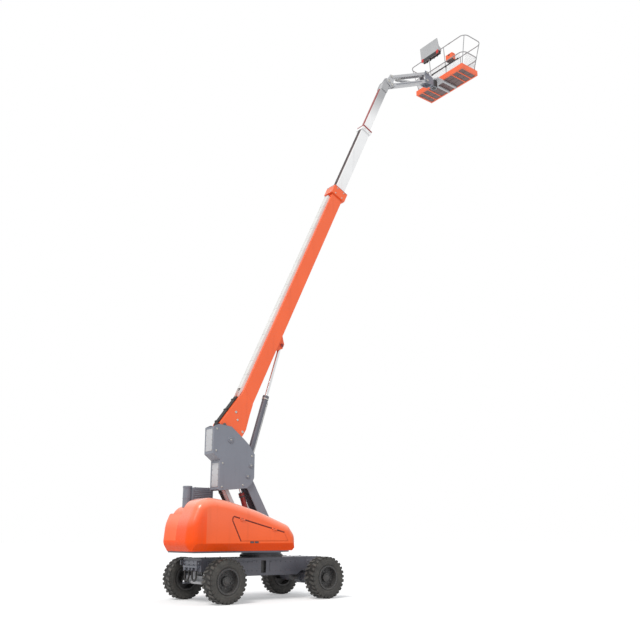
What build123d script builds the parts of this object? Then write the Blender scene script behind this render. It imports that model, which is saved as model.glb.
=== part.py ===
from build123d import *
import math
import os

os.makedirs("parts", exist_ok=True)

# Boom lift with a parallel-link riser, a three-section boom and a levelled jib.
# Millimetres. The ground is Z = 0, the boom points to +X and +Z is up.
# The origin is on the ground midway between the axles.

# Wheels and chassis
AXLE_X = 1555.0
WHEEL_Y = 1050.0
TYRE_R = 535.0
RIM_R = 290.0
SPINDLE_R = 60.0
FRAME_HALF_Y = 470.0
FRAME_TOP = 1060.0
FRAME_WALL = 16.0
KING_Y = 740.0
KING_R = 40.0
STEER_ARM = 180.0
SLEW_X = 200.0
RACE_R = 470.0

# Turret
DECK_BOTTOM = 1200.0
DECK_TOP = 1240.0
POD_OUT_Y = 1080.0
POD_IN_Y = 360.0
POD_WALL = 20.0
POD_EDGE_R = 240.0
TOWER_IN_Y = 180.0
TOWER_OUT_Y = 210.0

# Riser pins at the turret and where they meet the knuckle
RISER_LEN = 1725.0
RISER_DEG = 120.3
T1 = (420.0, 1680.0)
T2 = (-280.0, 1460.0)
T3 = (0.0, 1420.0)
K1 = (-450.3, 3169.4)
K2 = (-1150.3, 2949.4)
K3 = (-620.0, 3050.0)
RISER_BARREL_LEN = 1400.0
RISER_ROD_LEN = 1370.0

# Boom pivot, lift cylinder pins and boom sections
BOOM_DEG = 65.2
BOOM_PIN = (-1020.0, 4110.0)
LIFT_BASE = (-350.0, 3460.0)
LUG_S = 3390.0
LUG_T = -350.0
LIFT_BARREL_LEN = 2100.0
LIFT_ROD_LEN = 2500.0
MAIN_TIP = 9490.0
MID_TIP = 12550.0
FLY_PIN = 15170.0

# Jib and platform, placed from the jib's outer pin
JIB_DEG = 26.5
JIB_LEN = 2150.0
JIB_CYL_S = 1450.0
TURN_OUT = 533.0
FLOOR_UP = 345.0
DECK_OUT = 290.0
DECK_WIDTH = 900.0
DECK_HALF_Y = 1250.0
RAIL_R = 19.0
POST_R = 16.0
RAIL_BEND = 240.0
RAIL_INSET = 45.0
TOP_RAIL_UP = 1360.0
MID_RAIL_UP = 710.0
FLARE_X = 105.0
FLARE_Y = 295.0

PIN_GAP = 0.05
ROD_GAP = 0.3
PAD_GAP = 0.5


def face_xz(points, y):
    plane = Plane(origin=(0, y, 0), x_dir=(1, 0, 0), z_dir=(0, -1, 0))
    return plane * make_face(Polyline(*points, close=True))


def slab(points, y0, y1):
    return extrude(face_xz(points, y1), amount=y1 - y0)


def block(x0, x1, y0, y1, z0, z1):
    size = Box(x1 - x0, y1 - y0, z1 - z0)
    return Pos((x0 + x1) / 2, (y0 + y1) / 2, (z0 + z1) / 2) * size


def bar(p0, p1, r):
    start = Vector(*p0)
    along = Vector(*p1) - start
    return Solid.make_cylinder(r, along.length, Plane(origin=start, z_dir=along.normalized()))


def pin(at, r, y0, y1):
    return bar((at[0], y0, at[1]), (at[0], y1, at[1]), r)


def post(x, y, r, z0, z1):
    return bar((x, y, z0), (x, y, z1), r)


def both(shape):
    return shape + mirror(shape, about=Plane.XZ)


def place(at, deg, shape):
    return Pos(at[0], 0, at[1]) * Rot(0, -deg, 0) * shape


def box_tube(s0, s1, half_t, half_y, wall):
    outer = block(s0, s1, -half_y, half_y, -half_t, half_t)
    inner = block(s0 - 1, s1 + 1, wall - half_y, half_y - wall, wall - half_t, half_t - wall)
    return outer - inner


def point_on(at, deg, s, t):
    c = math.cos(math.radians(deg))
    n = math.sin(math.radians(deg))
    return (at[0] + s * c - t * n, at[1] + s * n + t * c)


def save(name, shape):
    export_step(shape, f"parts/{name}.step")


# Chassis frame, open below
FRAME_SIDE = [
    (-1900, FRAME_TOP),
    (-1900, 740),
    (-1250, 740),
    (-1100, 610),
    (1080, 610),
    (1230, 720),
    (1900, 720),
    (1900, FRAME_TOP),
]
frame = slab(FRAME_SIDE, -FRAME_HALF_Y, FRAME_HALF_Y)
frame -= block(-1880, 1880, FRAME_WALL - FRAME_HALF_Y, FRAME_HALF_Y - FRAME_WALL, 500, FRAME_TOP - 25)
for x in (-1100, -350, 750, 1230):
    frame += block(x, x + 16, FRAME_WALL - FRAME_HALF_Y, FRAME_HALF_Y - FRAME_WALL, 730, FRAME_TOP - 25)
# Seats for the two axles
frame += block(-1690, -1420, FRAME_WALL - FRAME_HALF_Y, FRAME_HALF_Y - FRAME_WALL, 740, 765)
frame += block(1420, 1690, FRAME_WALL - FRAME_HALF_Y, FRAME_HALF_Y - FRAME_WALL, 720, 745)
# Upright slot in each side
frame -= both(block(-105, 50, FRAME_HALF_Y - 2 * FRAME_WALL, FRAME_HALF_Y + 1, 670, 985))
# Lashing eyes at the four corners
EYE_Y = 425.0
EYE_Z = 950.0
for x, way in ((-1900, -1), (1900, 1)):
    for y in (-EYE_Y, EYE_Y):
        ear = block(min(x, x + way * 110), max(x, x + way * 110), y - 15, y + 15, EYE_Z - 60, EYE_Z + 60)
        ear -= pin((x + way * 60, EYE_Z), 26, y - 20, y + 20)
        frame += ear
save("chassis_frame", frame)

# Outer race of the slew bearing
ring = post(SLEW_X, 0, 560, FRAME_TOP, 1148) - post(SLEW_X, 0, RACE_R, FRAME_TOP - 1, 1149)
save("slew_ring", ring)

# Drive axle under the front of the frame
drive = block(AXLE_X - 110, AXLE_X + 110, -640, 640, 430, 640)
drive += both(block(AXLE_X - 90, AXLE_X + 90, 250, 440, 640, 720))
drive += both(pin((AXLE_X, TYRE_R), 130, 640, 852))
drive += both(pin((AXLE_X, TYRE_R), SPINDLE_R, 852, 1000))
drive += pin((AXLE_X, TYRE_R), 180, -130, 130)
save("drive_axle", drive)

# Steer axle with an eye for each king pin
steer = block(-AXLE_X - 90, -AXLE_X + 90, -600, 600, 450, 620)
steer += both(block(-AXLE_X - 70, -AXLE_X + 70, 590, 700, 455, 615))
steer += both(post(-AXLE_X, KING_Y, 88, 450, 620))
steer -= both(post(-AXLE_X, KING_Y, KING_R + PIN_GAP, 440, 630))
steer += both(block(-AXLE_X - 80, -AXLE_X + 80, 230, 440, 620, 740))
save("steer_axle", steer)

# Steering knuckles, each a fork round the axle's eye with an arm to the rod
for side, sign in (("left", 1), ("right", -1)):
    fork = post(-AXLE_X, KING_Y, KING_R, 410, 660)
    fork += post(-AXLE_X, KING_Y, 88, 626, 660) + post(-AXLE_X, KING_Y, 88, 410, 444)
    fork += block(-AXLE_X - 88, -AXLE_X + 88, KING_Y, 852, 626, 660)
    fork += block(-AXLE_X - 88, -AXLE_X + 88, KING_Y, 852, 410, 444)
    fork += block(-AXLE_X - 88, -AXLE_X + 88, 832, 852, 410, 660)
    fork += pin((-AXLE_X, TYRE_R), SPINDLE_R, 852, 1000)
    fork += block(-AXLE_X - STEER_ARM, -AXLE_X, 675, 765, 410, 444)
    fork += post(-AXLE_X - STEER_ARM, 700, 45, 410, 444)
    if sign < 0:
        fork = mirror(fork, about=Plane.XZ)
    save(f"steer_knuckle_{side}", fork)

# Steering cylinder behind the axle, its rod out at both ends
ram = pin((-AXLE_X - STEER_ARM, 475), 45, -260, 260)
ram -= pin((-AXLE_X - STEER_ARM, 475), 22 + ROD_GAP, -261, 261)
ram += both(block(-AXLE_X - STEER_ARM + 44, -AXLE_X - 90, 150, 200, 450, 500))
save("steer_cylinder", ram)
rod = pin((-AXLE_X - STEER_ARM, 475), 22, -680, 680)
rod += both(post(-AXLE_X - STEER_ARM, 700, 38, 450, 500))
save("steer_rod", rod)

# Valve plate at the steer end with two hanging hose loops
HOSE_X = -1935.0
HOSE_R = 20.0
LOOP_HALF = 110.0
plate = block(-1925, -1900, -395, 395, 830, 995)
plate += block(-1965, -1925, -370, 370, 840, 880)
for y in (-190, 190):
    loop = [
        (HOSE_X, y - LOOP_HALF, 850),
        (HOSE_X, y - LOOP_HALF, 520),
        (HOSE_X, y + LOOP_HALF, 520),
        (HOSE_X, y + LOOP_HALF, 850),
    ]
    bend = FilletPolyline(*loop, radius=LOOP_HALF - 4)
    plate += sweep((bend ^ 0) * Circle(HOSE_R), path=bend)
    for side in (-LOOP_HALF, LOOP_HALF):
        plate += post(HOSE_X, y + side, 29, 770, 850)
save("hose_plate", plate)

# Wheels, one tyre and one rim each
# The tyre is a many-sided drum with dished sides and two rows of leaning tread bars
TYRE_SIDES = 28
CARCASS_R = 505.0
SHOULDER_R = 440.0
TREAD_HALF = 165.0
TYRE_HALF = 200.0
DISH_R = 365.0
DISH_DEEP = 50.0
TREAD_BAR = [(-10, 6), (56, 6), (12, 195), (-60, 195)]
BAR_ROOT = SHOULDER_R + 4


def drum(y, r):
    plane = Plane(origin=(0, y, 0), x_dir=(1, 0, 0), z_dir=(0, 1, 0))
    return plane * RegularPolygon(r, TYRE_SIDES)


# The many-sided seat's flats lie on the rim's barrel
seat_r = RIM_R / math.cos(math.pi / TYRE_SIDES)
tyre = extrude(drum(-TREAD_HALF, CARCASS_R), amount=2 * TREAD_HALF)
tyre += both(loft([drum(TREAD_HALF, CARCASS_R), drum(TYRE_HALF, SHOULDER_R)], ruled=True))
tyre -= both(loft([drum(TYRE_HALF - DISH_DEEP, seat_r), drum(TYRE_HALF, DISH_R)], ruled=True))
tyre -= extrude(drum(-TYRE_HALF, seat_r), amount=2 * TYRE_HALF)
for row, start in ((1, 180.0), (-1, 180.0 + 360.0 / TYRE_SIDES)):
    root = make_face(Polyline(*[(x, row * y) for x, y in TREAD_BAR], close=True))
    tread_bar = extrude(Pos(0, 0, BAR_ROOT) * root, amount=TYRE_R - BAR_ROOT, dir=(0, 0, 1))
    for step in range(TYRE_SIDES // 2):
        tyre += Rot(0, start + step * 720.0 / TYRE_SIDES, 0) * tread_bar
rim = pin((0, 0), RIM_R, -180, 180) - pin((0, 0), 270, -181, 181)
rim += pin((0, 0), 308, 168, 180) - pin((0, 0), 289, 167, 181)
rim += pin((0, 0), 308, -180, -168) - pin((0, 0), 289, -181, -167)
rim += pin((0, 0), 272, 20, 45)
rim += pin((0, 0), 120, -190, 95)
rim -= pin((0, 0), SPINDLE_R + PIN_GAP, -191, -45)
WHEELS = [
    ("steer_left", -AXLE_X, 1),
    ("steer_right", -AXLE_X, -1),
    ("drive_left", AXLE_X, 1),
    ("drive_right", AXLE_X, -1),
]
for name, x, sign in WHEELS:
    for kind, shape in (("tyre", tyre), ("rim", rim)):
        turned = shape if sign > 0 else mirror(shape, about=Plane.XZ)
        save(f"{kind}_{name}", Pos(x, sign * WHEEL_Y, TYRE_R) * turned)

# Turntable deck with the inner race and the riser tower
DECK_PLAN = [
    (-2380, -940),
    (-2380, 440),
    (-1950, 960),
    (250, 960),
    (620, 700),
    (780, 260),
    (780, -260),
    (620, -700),
    (250, -960),
]
deck = Pos(0, 0, DECK_BOTTOM) * extrude(make_face(Polyline(*DECK_PLAN, close=True)), amount=40)
deck -= post(SLEW_X, 0, 400, DECK_BOTTOM - 1, DECK_TOP + 1)
deck += post(SLEW_X, 0, 540, 1156, DECK_BOTTOM) - post(SLEW_X, 0, 400, 1155, DECK_BOTTOM + 1)
race = post(SLEW_X, 0, RACE_R - ROD_GAP, 1085, DECK_BOTTOM) - post(SLEW_X, 0, 400, 1084, 1201)
deck += race
TOWER = [
    (-620, DECK_TOP),
    (760, DECK_TOP),
    (690, 1480),
    (540, 1780),
    (310, 1790),
    (120, 1600),
    (-160, 1560),
    (-380, 1560),
    (-520, 1430),
]
deck += both(slab(TOWER, TOWER_IN_Y, TOWER_OUT_Y))
deck += pin(T1, 45, -TOWER_OUT_Y, TOWER_OUT_Y)
deck += pin(T3, 35, -TOWER_OUT_Y, TOWER_OUT_Y)
deck += both(pin(T2, 35, 128, TOWER_OUT_Y))
deck += both(pin(T1, 95, TOWER_OUT_Y, TOWER_OUT_Y + 25))
deck += block(600, 640, -TOWER_IN_Y, TOWER_IN_Y, DECK_TOP, 1400)
save("turntable", deck)


# Side view of a hood, as corner points and the round at each
def hood_side(rear, drop, inset, floor):
    corners = [
        (-2480 + rear, floor, 0),
        (-2600 + rear, 1420, 260),
        (-2560 + rear, 1900 - drop, 800),
        (-2330 + rear, 2440 - drop, 350),
        (-2000 + rear, 2540 - drop, 600),
        (-1500 + 0.6 * rear, 2480 - drop, 2000),
        (-600, 2255 - drop, 3000),
        (420, 1890 - drop / 2, 300),
        (620, 1640, 260),
        (640, 1400, 0),
        (530, floor, 0),
    ]
    sketch = make_face(Polyline(*[(x, z) for x, z, r in corners], close=True))
    for x, z, r in corners:
        if r:
            corner = sketch.vertices().sort_by_distance((x, z, 0))[0]
            sketch = fillet(corner, r)
    if inset:
        sketch = offset(sketch, amount=-inset)
    return sketch


def hood_body(rear, drop, inset, y0, y1, round_y, edge_r):
    plane = Plane(origin=(0, y1, 0), x_dir=(1, 0, 0), z_dir=(0, -1, 0))
    body = extrude(plane * hood_side(rear, drop, inset, DECK_TOP), amount=y1 - y0)
    side = [e for e in body.edges() if abs(e.center().Y - round_y) < 0.5]
    side = [e for e in side if e.bounding_box().size.Y < 0.5]
    upper = [e for e in side if e.center().Z > 1345 + inset]
    return fillet(upper, edge_r)


def skirt_cut(shape, sign, inset):
    low = DECK_TOP - 60
    wedge = [(940, low), (960, DECK_TOP - 10), (1085, 1430), (1300, 1430), (1300, low)]
    wedge = [(y - inset, z) for y, z in wedge]
    plane = Plane(origin=(-3200, 0, 0), x_dir=(0, 1, 0), z_dir=(1, 0, 0))
    face = make_face(Polyline(*[(sign * y, z) for y, z in wedge], close=True))
    return shape - extrude(plane * face, amount=4600)


# Tail weight, which closes the turret behind the boom, and the slabs it stands on
tail = hood_body(0, 0, 0, -POD_IN_Y, 480, 480, POD_EDGE_R)
tail -= block(-2450, 900, -POD_IN_Y - 1, 600, 1100, 2700)
tail += block(-2450, -1350, -355, 355, DECK_TOP, 1440)
tail += block(-2380, -1780, -930, -385, DECK_TOP + 20, 2080)
tail += block(-1880, -1650, 385, 890, DECK_TOP + 30, 2000)
tail += block(-2380, -1650, -400, 400, DECK_TOP, DECK_TOP + 60)
save("counterweight", tail)

# Side hoods, open below, each with a lifting door
HOODS = [
    ("right", -1, 0.0, 0.0),
    ("left", 1, 350.0, 120.0),
]
DOOR = [(-1440, 2090), (200, 1690), (330, 1480), (-1120, 1480)]
DOOR_GAP = 6.0
# Shares of the top and rear edges that the door's sharp corner gives up, so that it can swing
DOOR_CUT_TOP = 0.0445
DOOR_CUT_REAR = 0.165
HINGE_OUT = 16.0
hood_outer = {}


# Hinge laid along X with Z out of the hood, its fixed leaf on the upper side
def hinge_leaf(sign):
    up = -sign
    leaf = bar((-75, 0, 0), (75, 0, 0), 7)
    for x in (-75, 45):
        ear = block(x, x + 30, min(0, up * 40), max(0, up * 40), -HINGE_OUT, 9)
        leaf += ear + bar((x, 0, 0), (x + 30, 0, 0), 13)
    return leaf


def hinge_sleeve(sign):
    down = sign
    sleeve = bar((-40, 0, 0), (40, 0, 0), 13)
    sleeve += block(-40, 40, min(0, down * 46), max(0, down * 46), -HINGE_OUT, -4)
    return sleeve - bar((-41, 0, 0), (41, 0, 0), 7 + PIN_GAP)


for side, sign, rear, drop in HOODS:
    low_y = min(sign * POD_IN_Y, sign * POD_OUT_Y)
    high_y = max(sign * POD_IN_Y, sign * POD_OUT_Y)
    outer = hood_body(rear, drop, 0, low_y, high_y, sign * POD_OUT_Y, POD_EDGE_R)
    outer = skirt_cut(outer, sign, 0)
    hood_outer[side] = outer
    inner = hood_body(
        rear, drop, POD_WALL, low_y + POD_WALL, high_y - POD_WALL,
        sign * (POD_OUT_Y - POD_WALL), POD_EDGE_R - POD_WALL,
    )
    inner = skirt_cut(inner, sign, POD_WALL * 1.2)
    under = sorted((sign * (POD_IN_Y + POD_WALL), sign * (POD_OUT_Y - 170)))
    below = block(-2330 + rear, 300, under[0], under[1], DECK_TOP - 40, DECK_TOP + 60)
    shell = outer - inner - below
    shell -= block(-2386, -1644, sign * 370 - 40, sign * 370 + 40, 1200, 1306)
    hole = [(x, z - (drop / 2 if z > 1600 else 0)) for x, z in DOOR]
    corner = Vector(*hole[0])
    along_top = corner + (Vector(*hole[1]) - corner) * DOOR_CUT_TOP
    along_rear = corner + (Vector(*hole[3]) - corner) * DOOR_CUT_REAR
    cut_hole = [(along_top.X, along_top.Y)] + hole[1:] + [(along_rear.X, along_rear.Y)]
    hole_face = face_xz(cut_hole, 0)
    door_face = offset(hole_face, amount=-DOOR_GAP)
    hole_cut = Pos(0, sign * POD_OUT_Y, 0) * extrude(hole_face, amount=60, both=True)
    door_cut = Pos(0, sign * POD_OUT_Y, 0) * extrude(door_face, amount=60, both=True)
    frame_side = shell - hole_cut
    door = shell & door_cut
    top = Vector(hole[1][0] - hole[0][0], 0, hole[1][1] - hole[0][1])
    for share in (0.2, 0.8):
        at = Vector(hole[0][0], sign * (POD_OUT_Y + HINGE_OUT), hole[0][1]) + top * share
        turn = Plane(origin=at, x_dir=top.normalized(), z_dir=(0, sign, 0))
        frame_side += turn * hinge_leaf(sign)
        door += turn * hinge_sleeve(sign)
    save(f"hood_{side}", frame_side)
    save(f"hood_door_{side}", door)

# Engine in the near hood
save("engine", block(-1500, -350, -910, -480, DECK_TOP, 1900))

# Air housing on the far hood, a round post and a box
air = block(-1720, -1100, 470, 830, 2200, 2860) + post(-1790, 640, 120, 2200, 2900)
air = fillet(air.edges().filter_by(Axis.Y).group_by(Axis.Z)[-1], 40)
air -= hood_outer["left"]
save("air_housing", max(air.solids(), key=lambda s: s.volume))

# Riser front link, a channel open to the rear round the cylinder
link = both(block(0, RISER_LEN, 140, 165, -135, 125))
link += block(150, RISER_LEN - 190, -150, 150, -135, -115)
link += both(pin((0, 0), 130, 140, 165) + pin((RISER_LEN, 0), 125, 140, 165))
link -= pin((0, 0), 45 + PIN_GAP, -200, 200) + pin((RISER_LEN, 0), 45 + PIN_GAP, -200, 200)
save("riser_link", place(T1, RISER_DEG, link))

# Riser rear link, two bars tied by a tube
link = both(block(0, RISER_LEN, 135, 170, -50, 50))
link += both(pin((0, 0), 62, 135, 170) + pin((RISER_LEN, 0), 62, 135, 170))
link += pin((1030, 0), 38, -140, 140)
link -= both(pin((0, 0), 35 + PIN_GAP, 120, 200) + pin((RISER_LEN, 0), 31, 120, 200))
save("riser_link_rear", place(T2, RISER_DEG, link))


# Cylinder barrel and rod laid along X from the base pin
def ram_barrel(length, r, rod_r, eye_r, pin_r, half_y, floor):
    tube = bar((0, 0, 0), (length, 0, 0), r)
    tube += bar((length - 110, 0, 0), (length, 0, 0), r + 10)
    tube += pin((0, 0), eye_r, -half_y, half_y)
    tube -= bar((floor, 0, 0), (length + 5, 0, 0), rod_r + ROD_GAP)
    return tube - pin((0, 0), pin_r + PIN_GAP, -300, 300)


def ram_rod(span, length, r, eye_r, half_y, hole_r):
    rod_shape = bar((span - length, 0, 0), (span, 0, 0), r) + pin((span, 0), eye_r, -half_y, half_y)
    return rod_shape - pin((span, 0), hole_r, -300, 300)


riser_span = math.hypot(K3[0] - T3[0], K3[1] - T3[1])
riser_deg = math.degrees(math.atan2(K3[1] - T3[1], K3[0] - T3[0]))
save("riser_barrel", place(T3, riser_deg, ram_barrel(RISER_BARREL_LEN, 70, 35, 75, 35, 65, 125)))
save("riser_rod", place(T3, riser_deg, ram_rod(riser_span, RISER_ROD_LEN, 35, 62, 42, 30)))

# Knuckle between riser and boom, two cheeks with plates across the back
CHEEK = [
    (-1550, 4440),
    (-1545, 3720),
    (-1330, 3560),
    (-1330, 2760),
    (-460, 2850),
    (-310, 2975),
    (-240, 3140),
    (-240, 3770),
    (-430, 4020),
    (-620, 4180),
    (-1000, 4470),
    (-1260, 4500),
    (-1410, 4510),
]
knuckle = both(slab(CHEEK, 215, 240))
knuckle += block(-1548, -1524, -216, 216, 3722, 4440)
knuckle += block(-1328, -1304, -216, 216, 2790, 3560)
knuckle += slab([(-1545, 3722), (-1330, 3562), (-1306, 3562), (-1306, 3590), (-1530, 3752)], -216, 216)
knuckle += pin(K1, 45, -216, 216) + pin(BOOM_PIN, 60, -216, 216) + pin(LIFT_BASE, 45, -216, 216)
knuckle += both(pin(K2, 30, 128, 216) + pin(K3, 48, 50, 216))
knuckle += both(pin(BOOM_PIN, 95, 240, 250) + pin(LIFT_BASE, 75, 240, 250) + pin(K1, 70, 240, 250))
save("knuckle", knuckle)

# Strips along the backs of the two inner sections, and the hoses on the boom foot
MID_STRIP_HALF = 62.0
MID_STRIP_UP = 22.0
FLY_STRIP_HALF = 46.0
FLY_STRIP_UP = 20.0
BUNDLE_R = 26.0
TRAY_S0 = 1240.0

# Main boom section with a flared foot, a tip collar and the lift lugs
main = box_tube(-160, MAIN_TIP, 210, 170, 10)
FOOT = [
    (-230, -140),
    (-230, 240),
    (-40, 400),
    (270, 470),
    (1240, 255),
    (1500, 208),
    (1250, -208),
    (930, -250),
    (500, -325),
    (330, -310),
    (-60, -260),
]
main += both(slab(FOOT, 170, 194))
main += slab([(270, 455), (270, 470), (TRAY_S0, 255), (TRAY_S0, 240)], -170, 170)
collar = block(MAIN_TIP - 330, MAIN_TIP, -215, 215, -285, 285)
collar -= block(MAIN_TIP - 331, MAIN_TIP - 120, -160, 160, -200, 200)
collar -= block(MAIN_TIP - 331, MAIN_TIP + 1, -134 - PAD_GAP, 134 + PAD_GAP, -170 - PAD_GAP, 170 + PAD_GAP)
collar -= block(MAIN_TIP - 331, MAIN_TIP + 1, -MID_STRIP_HALF - 8, MID_STRIP_HALF + 8, 160, 199)
main -= block(MAIN_TIP - 330, MAIN_TIP + 1, -215, 215, -285, 285)
main += collar
main -= pin((0, 0), 60 + PIN_GAP, -300, 300)
LUG = [(3080, -205), (3720, -205), (3470, -415), (3310, -415)]
main += both(slab(LUG, 58, 84))
main += both(pin((LUG_S, LUG_T), 60, 84, 104))
save("boom_main", place(BOOM_PIN, BOOM_DEG, main))

# Hose tray along the back of the main section
tray = block(TRAY_S0, 9030, -95, 95, 210, 300) - block(TRAY_S0 - 10, 8990, -87, 87, 218, 310)
tray -= slab([(TRAY_S0 - 1, 200), (TRAY_S0 - 1, 256), (1505, 208), (1505, 200)], -100, 100)
save("hose_tray", place(BOOM_PIN, BOOM_DEG, tray))

# Hoses from the main section's back, over the foot's back plate and up to the tray
BACK_LOW = (270, 470)
BACK_HIGH = (TRAY_S0, 255)
HOSE_ROOT_S = 80
HOSE_BEND = 120
bundle = None
for y in (-58, 0, 58):
    run = [
        (HOSE_ROOT_S, y, 210),
        (HOSE_ROOT_S, y, BACK_LOW[1] - 40),
        (BACK_LOW[0], y, BACK_LOW[1] + BUNDLE_R),
        (BACK_HIGH[0] - 4, y, BACK_HIGH[1] + BUNDLE_R + 2),
    ]
    line = FilletPolyline(*run, radius=HOSE_BEND)
    hose = sweep((line ^ 0) * Circle(BUNDLE_R), path=line)
    bundle = hose if bundle is None else bundle + hose
for s in (330, 760, 1130):
    fall = (BACK_LOW[1] - BACK_HIGH[1]) / (BACK_HIGH[0] - BACK_LOW[0])
    t = BACK_LOW[1] - (s - BACK_LOW[0]) * fall
    bundle += block(s - 22, s + 22, -92, 92, t + 1, t + 2 * BUNDLE_R + 12)
bundle -= slab([(BACK_LOW[0], 440), BACK_LOW, BACK_HIGH, (BACK_HIGH[0], 200)], -170, 170)
save("hose_bundle", place(BOOM_PIN, BOOM_DEG, bundle))

# Lift cylinder
lug_at = point_on(BOOM_PIN, BOOM_DEG, LUG_S, LUG_T)
lift_span = math.hypot(lug_at[0] - LIFT_BASE[0], lug_at[1] - LIFT_BASE[1])
lift_deg = math.degrees(math.atan2(lug_at[1] - LIFT_BASE[1], lug_at[0] - LIFT_BASE[0]))
save("lift_barrel", place(LIFT_BASE, lift_deg, ram_barrel(LIFT_BARREL_LEN, 85, 50, 92, 45, 80, 140)))
save("lift_rod", place(LIFT_BASE, lift_deg, ram_rod(lift_span, LIFT_ROD_LEN, 50, 75, 50, 38)))

# Middle and fly sections
mid = box_tube(MID_TIP - 8800, MID_TIP - 60, 170, 134, 8)
mid += block(MID_TIP - 180, MID_TIP - 60, -168, 168, -205, 205)
mid -= block(MID_TIP - 181, MID_TIP - 60, -126, 126, -162, 162)
mid += block(MID_TIP - 60, MID_TIP, -168, 168, -205, 205)
mid -= block(MID_TIP - 61, MID_TIP + 1, -104 - PAD_GAP, 104 + PAD_GAP, -135 - PAD_GAP, 135 + PAD_GAP)
mid -= block(MID_TIP - 61, MID_TIP + 1, -FLY_STRIP_HALF - 8, FLY_STRIP_HALF + 8, 130, 161)
tail_pad = block(MID_TIP - 8800, MID_TIP - 8650, PAD_GAP - 160, 160 - PAD_GAP, PAD_GAP - 200, 200 - PAD_GAP)
mid += tail_pad - block(MID_TIP - 8801, MID_TIP - 8649, -127, 127, -163, 163)
save("boom_mid", place(BOOM_PIN, BOOM_DEG, mid))
strip = block(MID_TIP - 8600, MID_TIP - 181, -MID_STRIP_HALF, MID_STRIP_HALF, 170, 170 + MID_STRIP_UP)
save("mid_strip", place(BOOM_PIN, BOOM_DEG, strip))
fly_end = FLY_PIN - 170
fly = box_tube(fly_end - 8300, fly_end, 135, 104, 8)
tail_pad = block(fly_end - 8300, fly_end - 8150, PAD_GAP - 126, 126 - PAD_GAP, PAD_GAP - 162, 162 - PAD_GAP)
fly += tail_pad - block(fly_end - 8301, fly_end - 8149, -97, 97, -128, 128)
EAR = [(-520, -134), (-420, -140), (-170, -106), (0, -90), (0, 92), (-170, 150), (-420, 155), (-520, 134)]
fly += both(slab([(FLY_PIN + s, t) for s, t in EAR], 104, 130))
fly += both(pin((FLY_PIN, 0), 92, 104, 130))
fly -= pin((FLY_PIN, 0), 45 + PIN_GAP, -300, 300)
save("boom_fly", place(BOOM_PIN, BOOM_DEG, fly))
strip = block(fly_end - 8100, fly_end - 360, -FLY_STRIP_HALF, FLY_STRIP_HALF, 135, 135 + FLY_STRIP_UP)
save("fly_strip", place(BOOM_PIN, BOOM_DEG, strip))

# Jib head, held level at the boom tip, and the jib pins on it
head_at = point_on(BOOM_PIN, BOOM_DEG, FLY_PIN, 0)
J1 = (head_at[0] + 150, head_at[1] - 95)
J2 = (J1[0], J1[1] + 340)
J1_FAR = point_on(J1, JIB_DEG, JIB_LEN, 0)
J2_FAR = (J1_FAR[0], J1_FAR[1] + 340)
TURN_X = J1_FAR[0] + TURN_OUT
FLOOR_Z = J1_FAR[1] + FLOOR_UP
DECK_X0 = TURN_X + DECK_OUT
DECK_X1 = DECK_X0 + DECK_WIDTH
HEAD = [(-95, -30), (-60, -95), (130, -190), (240, -130), (240, 240), (190, 325), (95, 315), (-40, 95)]
head = both(slab([(head_at[0] + x, head_at[1] + z) for x, z in HEAD], 135, 160))
head += pin(head_at, 45, -160, 160) + pin(J1, 40, -160, 160)
head += both(pin(J2, 35, 78, 160))
head += both(pin(head_at, 75, 160, 178) + pin(J1, 62, 160, 176) + pin(J2, 58, 160, 176))
save("jib_head", head)

# Jib bars, two channels facing each other with the jib cylinder between
low_bar = both(block(0, JIB_LEN, 88, 125, -65, 55))
low_bar += both(pin((0, 0), 70, 88, 125) + pin((JIB_LEN, 0), 70, 88, 125))
low_bar += block(260, JIB_LEN - 260, -92, 92, -65, -51)
low_bar += pin((JIB_CYL_S, 0), 28, -92, 92)
low_bar -= pin((0, 0), 40 + PIN_GAP, -200, 200) + pin((JIB_LEN, 0), 40 + PIN_GAP, -200, 200)
save("jib_lower", place(J1, JIB_DEG, low_bar))
top_bar = both(block(0, JIB_LEN, 88, 125, -50, 55))
top_bar += both(pin((0, 0), 62, 88, 125) + pin((JIB_LEN, 0), 62, 88, 125))
top_bar += block(760, JIB_LEN - 240, -92, 92, 42, 55)
top_bar -= both(pin((0, 0), 35 + PIN_GAP, 70, 200)) + pin((JIB_LEN, 0), 36, -200, 200)
save("jib_upper", place(J2, JIB_DEG, top_bar))
jib_base = point_on(J1, JIB_DEG, JIB_CYL_S, 0)
jib_span = math.hypot(J2[0] - jib_base[0], J2[1] - jib_base[1])
jib_deg = math.degrees(math.atan2(J2[1] - jib_base[1], J2[0] - jib_base[0]))
save("jib_barrel", place(jib_base, jib_deg, ram_barrel(950, 42, 24, 48, 28, 40, 80)))
save("jib_rod", place(jib_base, jib_deg, ram_rod(jib_span, 1060, 24, 46, 34, 22)))

# Platform bracket at the jib's end with the turning drive
BRACKET = [
    (-90, -70),
    (-90, 410),
    (85, 410),
    (170, 270),
    (316, 250),
    (316, -60),
    (80, -105),
]
bracket = both(slab([(J1_FAR[0] + x, J1_FAR[1] + z) for x, z in BRACKET], 135, 160))
bracket += block(J1_FAR[0] + 290, J1_FAR[0] + 316, -160, 160, J1_FAR[1] - 55, J1_FAR[1] + 245)
bracket += post(TURN_X, 0, 130, J1_FAR[1] - 60, J1_FAR[1] + 262)
bracket += block(J1_FAR[0] + 300, TURN_X, -90, 90, J1_FAR[1] - 40, J1_FAR[1] + 230)
bracket += post(TURN_X, 0, 50, J1_FAR[1] + 200, FLOOR_Z - 20)
bracket += pin(J1_FAR, 40, -160, 160) + pin(J2_FAR, 35, -160, 160)
bracket += both(pin(J1_FAR, 62, 160, 176) + pin(J2_FAR, 58, 160, 176))
save("platform_bracket", bracket)

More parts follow.
